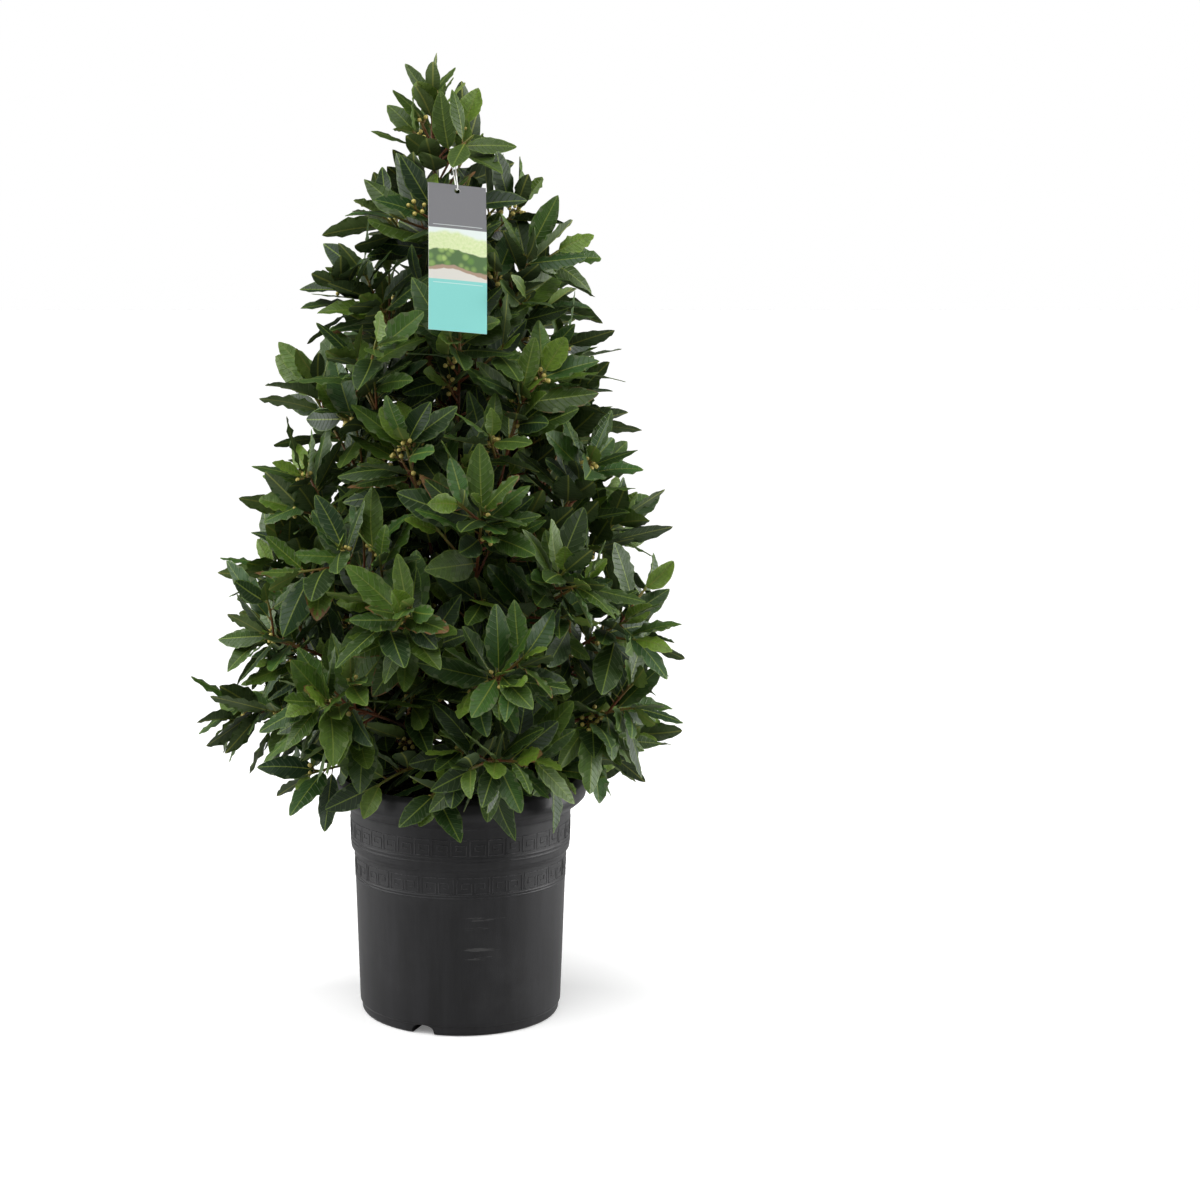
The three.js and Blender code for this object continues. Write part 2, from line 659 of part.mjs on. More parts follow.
function sideShoot(curve, leaves) {
  return { curve, from: 0, radius: SIDE_SHOOT_RADIUS, segments: 1, leaves };
}

function tagShoot() {
  return { ...sideShoot(tagShootCurve(), TAG_SHOOT_LEAVES), segments: 2 };
}

/** A spray's main shoot with a side shoot to the left or the right. */
function growShoots(curve, k) {
  const random = makeRandom(2000 + k);
  const root = mix(LIMB_SHARE, 1, SIDE_SHOOT_AT);
  const length = 0.7 * SIDE_SHOOT_LENGTH + 0.3 * bend(curve, LIMB_SHARE).distanceTo(curve[2]);
  const azimuth = k % 2 ? 0.5 * Math.PI : -0.5 * Math.PI;
  const side = growSideShoot(random, k, bend(curve, root), bendDirection(curve, root), azimuth, length);
  return side ? [mainShoot(curve), sideShoot(side, SIDE_LEAVES)] : [mainShoot(curve)];
}

/** The leader continues the trunk. */
function leaderCurve() {
  const foot = trunkPoint(TRUNK_TOP);
  const heading = foot.clone().sub(trunkPoint(TRUNK_TOP - 1)).normalize();
  return [foot, foot.clone().addScaledVector(heading, 40), LEADER_TIP];
}

/** The leader's shoots: itself, the one that carries the tag, and two more that grow freely. */
function growLeader(owner) {
  const random = makeRandom(2000 + owner);
  const curve = leaderCurve();
  const shoots = [{ ...mainShoot(curve), from: justPast(curve, 0), leaves: LEADER_LEAVES }, tagShoot()];
  for (const [at, azimuth] of [[0.12, 2.4], [0.34, 4.2]]) {
    const root = bend(curve, at);
    const side = growSideShoot(random, owner, root, bendDirection(curve, at), azimuth, SIDE_SHOOT_LENGTH);
    if (side) shoots.push(sideShoot(side, SIDE_LEAVES));
  }
  return shoots;
}

function growLeaves(shoots, owner, sag) {
  const random = makeRandom(4000 + owner);
  return shoots.flatMap(({ curve, from, leaves }, s) => leaves.map(([fromTip, lean, size], i) => {
    const at = 1 - (fromTip / bend(curve, from).distanceTo(curve[2])) * (1 - from);
    const place = { azimuth: i * GOLDEN_ANGLE + 2.1 * s + owner, lean, size, sag };
    return growLeaf(random, owner, bend(curve, at), bendDirection(curve, at), place);
  })).filter(Boolean);
}

/** A leaf's solid: a point in the shoot, three-cornered sections with a raised midrib, and a tip. */
function leafSolid(leaf) {
  const sections = LEAF_STATIONS.map((s) => [
    leafPoint(leaf, s, -1, 0), leafPoint(leaf, s, 1, 0), leafPoint(leaf, s, 0, LEAF_RIDGE),
  ]);
  return solidFrom(loft(sections, leafPoint(leaf, -LEAF_ROOT / leaf.length, 0, 0), leafPoint(leaf, 1, 0, 0)));
}

/** One bud on a thin stalk that starts in the shoot. */
function budSolid(root, along) {
  const outTo = (distance) => root.clone().addScaledVector(along, distance);
  const stalk = { centre: outTo(0.6 * BUD_STALK), along, radius: BUD_STALK_RADIUS };
  const middle = { centre: outTo(BUD_STALK + BUD_RADIUS), along, radius: BUD_RADIUS };
  return solidFrom(loft(ringsAlong([stalk, middle], 4), root, outTo(BUD_STALK + 2 * BUD_RADIUS)));
}

/** Buds side by side on the upper part of a main shoot. */
function budSolids({ curve }, owner) {
  const random = makeRandom(6000 + owner);
  const first = 2 * Math.PI * random();
  return Array.from({ length: BUDS_IN_CLUSTER }, (_, i) => {
    const at = 0.86 - 0.035 * i;
    return budSolid(bend(curve, at), leanFrom(bendDirection(curve, at), 0.9, first + 1.3 * i));
  });
}

function makeSpray(name, shoots, leaves, buds) {
  const stems = shoots.map(({ curve, from, radius, segments }) => (
    taperedTube(curve, [from, 1], [radius, SHOOT_TIP_RADIUS], segments, 3)
  ));
  const parts = [...stems, ...leaves.map(leafSolid), ...buds];
  return meshFrom(name, parts.reduce((whole, part) => whole.add(part)), LEAF_GREEN);
}

// ---------------------------------------------------------------- assembly

grown.push(cloudFrom(stringPoints(), STRING_OWNER));
grown.push(cloudFrom(trunkPoints(), WOOD_OWNER));
grown.push(cloudFrom(pointsAlong(leaderCurve(), 0, 1, 16), SPRAYS, 3));
grown.push(cloudFrom(pointsAlong(tagShootCurve(), 0.2, 1, 8), SPRAYS, 3));
const heights = sprayHeights();
const curves = heights.map(growSpray);
const sprays = [...curves.map(growShoots), growLeader(SPRAYS)];

const laurel = new THREE.Group();
laurel.add(makePot(), makeSoil(), makeWood(curves), makeTag(), makeString());
sprays.forEach((shoots, k) => {
  const level = k < SPRAYS ? sprayLevel(heights[k]) : 1;
  const leaves = growLeaves(shoots, k, mix(LOW_SAG, HIGH_SAG, Math.min(1, level / HIGH_SAG_LEVEL)));
  const buds = k % SPRAYS_PER_CLUSTER === 1 ? budSolids(shoots[0], k) : [];
  const name = k < SPRAYS ? `spray_${String(k + 1).padStart(2, '0')}` : 'leader';
  laurel.add(makeSpray(name, shoots, leaves, buds));
});

export default laurel;
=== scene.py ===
"""Looks of the potted bay laurel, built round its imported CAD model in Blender 4.5.

The plant grows here by the same rule as in the CAD source, in millimetres, so that each fine leaf, shoot
and bud stands where its plain solid does. More twigs and leaves then fill the crown between them. Meshes
are made in metres. The origin is the centre of the pot's flat underside, +Z is up and -Y is the front.
"""

import math

import bpy
import numpy as np
from mathutils import Matrix, Vector, noise


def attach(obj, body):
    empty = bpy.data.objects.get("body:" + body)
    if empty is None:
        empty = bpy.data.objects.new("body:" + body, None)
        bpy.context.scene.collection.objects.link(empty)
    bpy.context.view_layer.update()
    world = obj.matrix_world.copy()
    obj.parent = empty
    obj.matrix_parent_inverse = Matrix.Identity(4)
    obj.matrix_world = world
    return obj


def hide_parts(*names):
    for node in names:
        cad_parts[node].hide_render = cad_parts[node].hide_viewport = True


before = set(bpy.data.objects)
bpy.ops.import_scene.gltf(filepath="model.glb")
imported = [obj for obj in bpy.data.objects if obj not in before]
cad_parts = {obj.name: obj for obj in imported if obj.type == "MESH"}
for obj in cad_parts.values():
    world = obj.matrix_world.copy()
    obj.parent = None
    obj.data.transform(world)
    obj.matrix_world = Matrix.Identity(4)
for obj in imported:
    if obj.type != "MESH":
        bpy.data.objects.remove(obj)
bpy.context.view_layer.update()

# ---------------------------------------------------------------- small tools

MM = 0.001
TURN = 2 * math.pi
UP = np.array([0.0, 0.0, 1.0])


def mix(a, b, t):
    return a + (b - a) * t


def unit(v):
    return v / np.linalg.norm(v)


def vector(x, y, z):
    return np.array([x, y, z], float)


def circle(sides):
    """Points of a unit circle, as rows of x and y."""
    angle = np.arange(sides) * TURN / sides
    return np.stack([np.cos(angle), np.sin(angle)], axis=-1)


# ---------------------------------------------------------------- dimensions in millimetres, as in CAD

# pot
POT_HEIGHT = 229
RIM_RADIUS = 120
RIM_INNER_RADIUS = 109.4
LIP_DROP = 22
COLLAR_RADIUS = 105.2
COLLAR_FOOT = 160
BODY_TOP_RADIUS = 101.2
BODY_FOOT_RADIUS = 96.4
FOOT_RADIUS = 92.5
FOOT_HEIGHT = 10.5
WALL = 2
POT_FLOOR = 12
DRAIN_ANGLES = [math.radians(a) for a in (-112, 8, 128)]
DRAIN_HALF_WIDTH = 11
DRAIN_HEIGHT = 9.5
DRAIN_INNER_END = 62

# soil
SOIL_HEIGHT = 204
SOIL_DOME = 4
ROOT_DEPTH = 55

# trunk and limbs
TRUNK_FOOT_RADIUS = 7.5
TRUNK_TOP_RADIUS = 2.2
TRUNK_TOP = 785
TRUNK_FOOT_X = 9
TRUNK_TOP_X = -27
TRUNK_SWAY = 5
LOWEST_LIMB = 213
LIMB_FOOT_RADIUS = 3.2
LIMB_END_RADIUS = 1.9
LIMB_SHARE = 0.5  # of a spray's curve is its limb, and the rest its main shoot

# crown
GOLDEN_ANGLE = math.radians(137.508)
CROWN_OUTLINE = np.array([  # height, radius to the leaf tips, x of its middle
    (190, 140, -14), (225, 190, -16), (262, 220, -17), (310, 234, -17), (400, 222, -15), (450, 203, -7),
    (500, 195, -7), (560, 172, -9), (620, 160, -12), (670, 142, -8), (725, 124, -4), (760, 104, -3),
    (785, 80, -6), (830, 56, -17), (860, 34, -24), (896, 26, -28), (910, 4, -29),
])
SPRAYS = 42
LEADER = SPRAYS  # the leader's number among the sprays
LOWEST_SPRAY = 252
HIGHEST_SPRAY = 772
SHOOT_INSET = 40
SIDE_SHOOT_INSET = 20
SHOOT_RADIUS = 1.7
SIDE_SHOOT_RADIUS = 1.4
SHOOT_TIP_RADIUS = 1.2
SIDE_SHOOT_AT = 0.35
SIDE_SHOOT_LENGTH = 34
LEADER_TIP = np.array([-25.0, -4.0, 866.0])

# leaves
LEAF_LENGTH = (54, 74)
LEAF_WIDTH_SHARE = 0.38
LEAF_ROOT = 1
LEAF_FOLD = 0.16
LEAF_WAVE = 0.05
LEAF_POINT = 0.9  # how pointed a blade is at its ends
LEAF_MARGIN = 10  # how far a tip may pass the crown's outline
LEAF_DROOP = (0.02, 0.16)
LOW_SAG = 1
HIGH_SAG = 0.1
HIGH_SAG_LEVEL = 0.4

# buds
SPRAYS_PER_CLUSTER = 3
BUDS_IN_CLUSTER = 3
BUD_RADIUS = 2.4
BUD_STALK = 6.5

# room between clouds of sample points, and from them to the pot and the soil
CLEARANCE = 7
CLEARANCE_IN_SPRAY = 5.5
POT_ROOM = 3
SOIL_ROOM = 4
TRIES = 40

# hang tag and its string
TAG_WIDTH = 53
TAG_HEIGHT = 134
TAG_HOLE = np.array([-3.0, -106.0, 773.0])
TAG_HOLE_RADIUS = 2.6
TAG_HOLE_INSET = 5.5
TAG_ROLL = math.radians(-5.5)
TAG_TILT = math.radians(18.5)
TAG_YAW = math.radians(18)
TAG_ROOM = 6
TAG_SHOOT_TIP = np.array([9.0, -47.0, 822.0])
STRING_RADIUS = 0.6
STRING_ARC = (1.5, 0.75, 0, -0.75, -1.5)  # angles of its run over the shoot, from the top
GAP = 0.3

# ---------------------------------------------------------------- what fills the crown, in millimetres

TWIGS = 9  # more twigs tried on each spray
TWIG_SPAN = (0.15, 0.97)  # of the spray's curve
TWIG_LENGTH = (18, 50)
TWIG_RADIUS = 1.15
TWIG_ROOT = 0.4  # the share of a twig that may come near others
INNER_OWNER = SPRAYS + 1
INNER_TWIGS = 80
LOWEST_INNER_TWIG = 262
INNER_TWIG_LENGTH = (34, 100)
LOW_OWNER = SPRAYS + 2
LOW_TWIG_TIPS = [  # twigs that hang over the pot's rim
    vector(-79, -100, 246), vector(-138, -62, 248), vector(-22, -121, 240), vector(88, -92, 250),
    vector(24, 126, 246), vector(-96, 90, 250),
]
LOW_TWIG_HEIGHT = 240  # where they leave the trunk
FILL_TRIES = 16
FILL_CLEARANCE = 3.6  # room between what fills the crown and what has grown
FILL_MARGIN = 12  # how far its leaves may pass the crown's outline
FILL_SAG = (-0.35, 0.3)  # how much its leaves hang, at the top and in the lowest sprays
YOUNG_SIZE = 0.62  # leaves smaller than this are young, bright and round
YOUNG_WIDTH_SHARE = (0.46, 0.66)
FILL_WIDTH_SHARE = (0.35, 0.44)
YOUNG_SHARE = 0.25  # of the leaves look young to some degree
MOST_YOUTH = 0.45
LEADER_YOUTH = 0.3  # how young the leader's leaves are at least
GROWN_LOOSENESS = 0.25  # how far the leaves of the CAD source take a form of their own
INNER_DEPTHS = (0.3, 0.7)  # from the crown's middle line, as shares of its radius
# The lightness at those depths is painted shade: leaves deep in the crown get darker tones for the shade
# there.
INNER_SHADE_LIGHTNESS = (0.1, 1.1)  # of the leaves at those depths
BUDDING_SHARE = 0.44  # of the shoots bear buds
BUDS_ON_SHOOT = (3, 7.5)

# ---------------------------------------------------------------- random numbers and curves

# each kind of thing draws from its own run of seeds: these as in the CAD source
LIMB_SEED = 500
SHOOT_SEED = 2000
LEAF_SEED = 4000
BUD_SEED = 6000
# and these for what only this script adds
CRUMB_SEED = 7000
TWIG_SEED = 8000
FILL_SEED = 9000
FORM_SEED = 10000
MORE_BUDS_SEED = 11000
COLOUR_SEED = 12000


class Random:
    """Park-Miller random numbers from 0 to 1, as in the CAD source: the same seed grows the same plant."""

    def __init__(self, seed):
        self.state = (seed * 7919 + 1013) % 2147483647
        self()
        self()

    def __call__(self):
        self.state = self.state * 16807 % 2147483647
        return self.state / 2147483647

    def within(self, low, high):
        return mix(low, high, self())

    def swing(self, width):
        return width * (self() - 0.5)

    def angle(self):
        return TURN * self()


def bend(curve, t):
    """A point, or points, on the curve with three control points."""
    t = np.asarray(t, float)[..., None]
    return curve[0] * (1 - t) ** 2 + curve[1] * (2 * t * (1 - t)) + curve[2] * t**2


def bend_direction(curve, t):
    t = np.asarray(t, float)[..., None]
    along = (curve[1] - curve[0]) * (1 - t) + (curve[2] - curve[1]) * t
    return along / np.linalg.norm(along, axis=-1, keepdims=True)


def spot(curve, t):
    """The point at a share of a curve, and the curve's direction there."""
    return bend(curve, t), bend_direction(curve, t)


def points_along(curve, start, end, segments):
    return bend(curve, np.linspace(start, end, segments + 1))


def just_past(curve, share):
    """The share of a curve just past a given one, past the gap to the wood that ends there."""
    return share + GAP / np.linalg.norm(curve[2] - curve[0])


# ---------------------------------------------------------------- trunk, limbs and crown


def crown_radius(height):
    heights, radii, _ = CROWN_OUTLINE.T
    return np.interp(height, heights, radii, left=0, right=0)


def crown_middle(height):
    heights, _, middles = CROWN_OUTLINE.T
    return vector(np.interp(height, heights, middles), 0, height)


def trunk_point(height):
    """The trunk's middle line, which leans to the left towards the top."""
    t = (height - SOIL_HEIGHT) / (TRUNK_TOP - SOIL_HEIGHT)
    sway = TRUNK_SWAY * np.sin(4.2 * t)
    lean = 0.35 * t + 0.65 * t**3
    return np.stack([mix(TRUNK_FOOT_X, TRUNK_TOP_X, lean) - sway, 0.8 * sway, height + 0 * t], axis=-1)


def trunk_radius(height):
    t = np.clip((height - SOIL_HEIGHT) / (TRUNK_TOP - SOIL_HEIGHT), 0, 1)
    return mix(TRUNK_FOOT_RADIUS, TRUNK_TOP_RADIUS, t**0.8)


def trunk_points():
    """Points all over the trunk's surface above the soil."""
    count = 3 * round((TRUNK_TOP - SOIL_HEIGHT) / 6)
    i = np.arange(count)
    height = mix(SOIL_HEIGHT, TRUNK_TOP, i / count)
    angle = i * TURN / 3
    ring = np.stack([np.cos(angle), np.sin(angle), 0 * angle], axis=-1)
    return trunk_point(height) + ring * trunk_radius(height)[:, None]


def spray_heights():
    """Heights of the sprays' tips, each with an equal share of the crown's surface."""
    heights = np.arange(LOWEST_SPRAY, HIGHEST_SPRAY + 1)
    sums = np.cumsum(crown_radius(heights))
    shares = (np.arange(SPRAYS) + 0.5) / SPRAYS
    return [float(LOWEST_SPRAY + np.argmax(sums >= share * sums[-1])) for share in shares]


def spray_level(height):
    return (height - LOWEST_SPRAY) / (HIGHEST_SPRAY - LOWEST_SPRAY)


def spray_curve(random, height, k):
    """Where spray k may grow: a curve from the trunk to the tip of its main shoot."""
    level = spray_level(height)
    azimuth = k * GOLDEN_ANGLE + random.swing(0.4)
    reach = crown_radius(height) - SHOOT_INSET - 6 * random()
    rise = reach * math.tan(mix(0.2, 1.1, min(1, 1.8 * level)))
    foot_height = max(height - rise, LOWEST_LIMB + 30 * level + 0.35 * k)
    foot = trunk_point(foot_height)
    tip = crown_middle(height) + reach * vector(math.cos(azimuth), math.sin(azimuth), 0)
    elbow = mix(foot, tip, 0.5)
    elbow[2] += (height - foot_height) * mix(0.3, -0.12, level)
    return np.array([foot, elbow, tip])


def leader_curve():
    foot = trunk_point(TRUNK_TOP)
    heading = unit(foot - trunk_point(TRUNK_TOP - 1))
    return np.array([foot, foot + 40 * heading, LEADER_TIP])


# ---------------------------------------------------------------- hang tag


def tag_axes():
    """The tag's own axes, as columns: across, up along the card, and out of its printed face."""
    turn = Matrix.Rotation(TAG_YAW, 3, "Z") @ Matrix.Rotation(-TAG_TILT, 3, "X")
    flat = Matrix(((1, 0, 0), (0, 0, -1), (0, 1, 0)))
    return np.array(turn @ Matrix.Rotation(-TAG_ROLL, 3, "Y") @ flat)


TAG_AXES = tag_axes()


def on_tag(x, y, z):
    """Places given along the tag's axes from the middle of its hole."""
    return TAG_HOLE + np.stack(np.broadcast_arrays(x, y, z), axis=-1) @ TAG_AXES.T


def tag_shoot_curve():
    """The shoot under the leader that carries the tag."""
    root = bend(leader_curve(), 0.2)
    elbow = mix(root, TAG_SHOOT_TIP, 0.5) - 3 * UP
    return np.array([root, elbow, TAG_SHOOT_TIP])


def string_route():
    """The middle line of the string: a closed loop through the tag's hole and over its shoot."""
    shoot, along = spot(tag_shoot_curve(), 0.5)
    pull = on_tag(0, 12, -3) - shoot
    pull = unit(pull - along * (pull @ along))
    beside = np.cross(along, pull)
    wrap = SHOOT_RADIUS + STRING_RADIUS + GAP
    seat = TAG_HOLE_RADIUS - STRING_RADIUS - GAP
    over = [shoot + wrap * (beside * math.sin(a) - pull * math.cos(a)) for a in STRING_ARC]
    return np.array([
        on_tag(0, seat, 1.3), on_tag(0, TAG_HOLE_INSET - 1, 1.9), on_tag(0, TAG_HOLE_INSET + 1.6, 0.6),
        *over, on_tag(0, seat + 1.5, -2.2), on_tag(0, seat, -1.3),
    ])


def string_points():
    route = string_route()
    steps = np.arange(8)[:, None] / 8
    return np.concatenate([mix(a, b, steps) for a, b in zip(route, np.roll(route, -1, axis=0))])


# ---------------------------------------------------------------- growth: what is in the way


class Cloud:
    """Sample points of one thing that has grown. Its first ones don't count within one owner."""

    def __init__(self, points, owner, inner=0):
        self.points = points
        self.owner = owner
        self.inner = inner
        self.centre = (points.min(0) + points.max(0)) / 2
        self.reach = np.linalg.norm(points - self.centre, axis=1).max()


STRING_OWNER = -2
WOOD_OWNER = -1
MOST_CLOUDS = 6000
grown = []
grown_balls = np.zeros((MOST_CLOUDS, 5))  # centre, reach and owner of each cloud


def keep(cloud):
    grown_balls[len(grown)] = (*cloud.centre, cloud.reach, cloud.owner)
    grown.append(cloud)


def in_pot(points):
    """Which points are in the pot's rim or the soil, or too near them."""
    radius = np.hypot(points[:, 0], points[:, 1])
    low = (points[:, 2] <= POT_HEIGHT + POT_ROOM) & (radius <= RIM_RADIUS + POT_ROOM)
    in_rim = radius > RIM_INNER_RADIUS - 2 * POT_ROOM
    return low & (in_rim | (points[:, 2] < SOIL_HEIGHT + SOIL_DOME + SOIL_ROOM))


def hides_tag(points):
    x, y, z = ((points - TAG_HOLE) @ TAG_AXES).T
    in_width = abs(x) < TAG_WIDTH / 2 + TAG_ROOM
    in_height = abs(y - TAG_HOLE_INSET + TAG_HEIGHT / 2) < TAG_HEIGHT / 2 + TAG_ROOM
    return in_width & in_height & (z > -TAG_ROOM)


def outside_crown(point, margin):
    middle = crown_middle(point[2])
    return math.hypot(point[0] - middle[0], point[1] - middle[1]) > crown_radius(point[2]) + margin


def is_clear(cloud):
    """Whether a cloud keeps its distance from all that has grown."""
    if in_pot(cloud.points).any() or hides_tag(cloud.points).any():
        return False
    balls = grown_balls[: len(grown)]
    same = balls[:, 4] == cloud.owner
    rooms = np.where(same, CLEARANCE_IN_SPRAY, CLEARANCE)
    near = np.linalg.norm(balls[:, :3] - cloud.centre, axis=1) <= balls[:, 3] + cloud.reach + rooms
    if cloud.owner == WOOD_OWNER:
        near &= ~same
    for i in np.flatnonzero(near):
        other = grown[i]
        mine = cloud.points[cloud.inner if same[i] else 0 :]
        theirs = other.points[other.inner if same[i] else 0 :]
        gaps = ((mine[:, None] - theirs[None]) ** 2).sum(-1)
        if gaps.size and gaps.min() < rooms[i] ** 2:
            return False
    return True


# ---------------------------------------------------------------- growth: leaves and shoots


def blade_shape(s, pointed):
    """The half width of a blade at s, from 0 at its root to 1 at its tip, as a share of its widest."""
    q = np.clip((s - 0.1) / 0.9, 0, 1)
    return np.where(s < 1, np.maximum(0.09, np.sin(np.pi * q**0.85) ** pointed), 0)


class Leaf:
    """One leaf: its root, its axes, its size and how it bends."""

    def __init__(self, root, along, face, length, width, droop, phase):
        self.root, self.along, self.face = root, along, face
        self.across = np.cross(along, face)
        self.length, self.width = length, width
        self.droop, self.phase = droop, phase
        self.fold = LEAF_FOLD
        self.pointed = LEAF_POINT
        self.twist = 0.0  # how far its tip turns about its midrib
        self.hook = 0.0  # how far it bends sideways, as a share of its length
        self.youth = 0.0
        self.tone = 0.5

    def point(self, s, t):
        """Points on the blade: s runs from root to tip, t from -1 to 1 across."""
        half = 0.5 * self.width * blade_shape(s, self.pointed)
        wave = LEAF_WAVE * np.sin(9 * s + self.phase + np.where(t > 0, 2, 0))
        flat, folded = half * t, half * abs(t) * (wave - self.fold)
        turn = self.twist * s
        along = self.length * s
        across = flat * np.cos(turn) - folded * np.sin(turn) + self.hook * along * s
        height = folded * np.cos(turn) + flat * np.sin(turn) - self.droop * along * s
        axes = np.array([self.along, self.across, self.face])
        return self.root + np.stack([along, across, height], axis=-1) @ axes

    def tip(self):
        return self.root + self.length * (self.along + self.hook * self.across - self.droop * self.face)


SAMPLE_COLUMNS = [-0.9, -0.45, 0, 0.45, 0.9]
SAMPLE_ROWS = [0.12, 0.24, 0.37, 0.5, 0.62, 0.74, 0.86, 0.97]
SAMPLE_S, SAMPLE_T = np.meshgrid(SAMPLE_ROWS, SAMPLE_COLUMNS, indexing="ij")


def lean_from(direction, lean, azimuth):
    """A direction that leans off a shoot by an angle, at an azimuth round it."""
    guide = vector(1, 0, 0) if abs(direction[2]) > 0.9 else UP
    side = unit(guide - direction * (guide @ direction))
    other = np.cross(direction, side)
    outward = side * math.sin(lean) * math.cos(azimuth) + other * math.sin(lean) * math.sin(azimuth)
    return direction * math.cos(lean) + outward


def draw_leaf(random, root, direction, azimuth, lean, size, sag, width_share=LEAF_WIDTH_SHARE):
    """One leaf, drawn at random about its place on the shoot, with its face turned up and out."""
    lean_drawn = lean + random.swing(0.5)
    along = lean_from(direction, lean_drawn, azimuth + random.swing(0.9))
    along[2] -= sag * random()
    along = unit(along)
    outward = unit(vector(root[0], root[1], 0))
    face = vector(random.swing(0.5), random.swing(0.5), 0.75) + 0.65 * outward
    face = unit(face - along * (face @ along))
    length = size * random.within(*LEAF_LENGTH)
    droop = random.within(*LEAF_DROOP)
    return Leaf(root, along, face, length, width_share * length, droop, random.angle())


def grow_leaf(random, spray, *place):
    """Tries to grow a leaf on a spray, at a place that draw_leaf takes."""
    for _ in range(TRIES):
        leaf = draw_leaf(random, *place)
        points = leaf.point(SAMPLE_S, SAMPLE_T).reshape(-1, 3)
        cloud = Cloud(points, spray.owner, len(SAMPLE_COLUMNS))
        if not outside_crown(leaf.tip(), LEAF_MARGIN) and is_clear(cloud):
            keep(cloud)
            spray.leaves.append(leaf)
            break


def grow_spray(height, k):
    """Tries curves for spray k until its limb and main shoot are clear, and gives the last one tried."""
    random = Random(LIMB_SEED + k)
    for i in range(TRIES + 1):
        curve = spray_curve(random, height, k)
        limb = Cloud(points_along(curve, 0, LIMB_SHARE, 16), WOOD_OWNER)
        shoot = Cloud(points_along(curve, LIMB_SHARE, 1, 12), k, 3)
        if i == TRIES or (is_clear(limb) and is_clear(shoot)):
            keep(limb)
            keep(shoot)
            return curve


def draw_side_shoot(random, root, direction, azimuth, length):
    lean = 0.75 + random.swing(0.5)
    heading = lean_from(direction, lean, azimuth + random.swing(1.2))
    reach = length * random.within(0.85, 1.15)
    tip = root + reach * heading
    elbow = mix(root, tip, 0.5) - 0.06 * reach * direction
    return np.array([root, elbow, tip])


# ---------------------------------------------------------------- sprays

# where leaves stand on a shoot: distance from its tip, lean off it, size
MAIN_LEAVES = [(1, 0.25, 0.85), (6, 0.8, 0.95), (12, 0.95, 1), (20, 1.05, 1), (30, 1.1, 1), (41, 1.15, 1)]
SIDE_LEAVES = [(1, 0.35, 0.9), (9, 0.95, 1)]
LEADER_LEAVES = [
    (1, 0.2, 0.56), (4, 0.42, 0.56), (9, 0.6, 0.62), (15, 0.7, 0.68), (23, 0.8, 0.75),
    (33, 0.9, 0.8), (44, 1, 0.85), (58, 1.05, 0.9),
]
TAG_SHOOT_LEAVES = [(1, 0.35, 0.8), (8, 0.9, 0.85), (16, 1, 0.9)]
LEADER_SIDES = ((0.12, 2.4), (0.34, 4.2))  # where its free side shoots leave it, and at what azimuth


class Shoot:
    """A leafy shoot along part of a curve."""

    def __init__(self, curve, start, radius, leaves=()):
        self.curve, self.start, self.radius, self.leaves = curve, start, radius, leaves

    def length(self):
        return np.linalg.norm(self.curve[2] - bend(self.curve, self.start))

    def spot(self, from_tip):
        """The point at a distance from its tip, and its direction there."""
        return spot(self.curve, 1 - from_tip / self.length() * (1 - self.start))


class Spray:
    """All that grows at the end of one limb."""

    def __init__(self, owner, shoots, level):
        self.owner, self.shoots = owner, shoots
        self.sag = mix(LOW_SAG, HIGH_SAG, min(1, level / HIGH_SAG_LEVEL))
        self.leaves = []
        self.buds = []  # root, direction and size of each


def grow_side_shoot(random, owner, root, direction, azimuth, length):
    """Tries to grow a side shoot, and gives a list with it, or an empty one."""
    for _ in range(TRIES):
        curve = draw_side_shoot(random, root, direction, azimuth, length)
        cloud = Cloud(points_along(curve, 0.15, 1, 8), owner, 3)
        if not outside_crown(curve[2], -SIDE_SHOOT_INSET) and is_clear(cloud):
            keep(cloud)
            return [Shoot(curve, 0, SIDE_SHOOT_RADIUS, SIDE_LEAVES)]
    return []


def grow_shoots(curve, k):
    """A spray's main shoot with a side shoot to the left or the right."""
    at = mix(LIMB_SHARE, 1, SIDE_SHOOT_AT)
    length = 0.7 * SIDE_SHOOT_LENGTH + 0.3 * np.linalg.norm(bend(curve, LIMB_SHARE) - curve[2])
    azimuth = (0.5 if k % 2 else -0.5) * math.pi
    side = grow_side_shoot(Random(SHOOT_SEED + k), k, *spot(curve, at), azimuth, length)
    return [Shoot(curve, just_past(curve, LIMB_SHARE), SHOOT_RADIUS, MAIN_LEAVES), *side]


def grow_leader():
    """The leader's shoots: itself, the one that carries the tag, and two more that grow freely."""
    random = Random(SHOOT_SEED + LEADER)
    curve = leader_curve()
    shoots = [
        Shoot(curve, just_past(curve, 0), SHOOT_RADIUS, LEADER_LEAVES),
        Shoot(tag_shoot_curve(), 0, SIDE_SHOOT_RADIUS, TAG_SHOOT_LEAVES),
    ]
    for at, azimuth in LEADER_SIDES:
        shoots += grow_side_shoot(random, LEADER, *spot(curve, at), azimuth, SIDE_SHOOT_LENGTH)
    return shoots


def grow_leaves(spray):
    random = Random(LEAF_SEED + spray.owner)
    for s, shoot in enumerate(spray.shoots):
        for i, (from_tip, lean, size) in enumerate(shoot.leaves):
            azimuth = i * GOLDEN_ANGLE + 2.1 * s + spray.owner
            grow_leaf(random, spray, *shoot.spot(from_tip), azimuth, lean, size, spray.sag)


def grow_buds(spray):
    """Buds side by side on the upper part of a main shoot, as in the CAD source."""
    first = Random(BUD_SEED + spray.owner).angle()
    for i in range(BUDS_IN_CLUSTER):
        root, direction = spot(spray.shoots[0].curve, 0.86 - 0.035 * i)
        spray.buds.append((root, lean_from(direction, 0.9, first + 1.3 * i), 1))


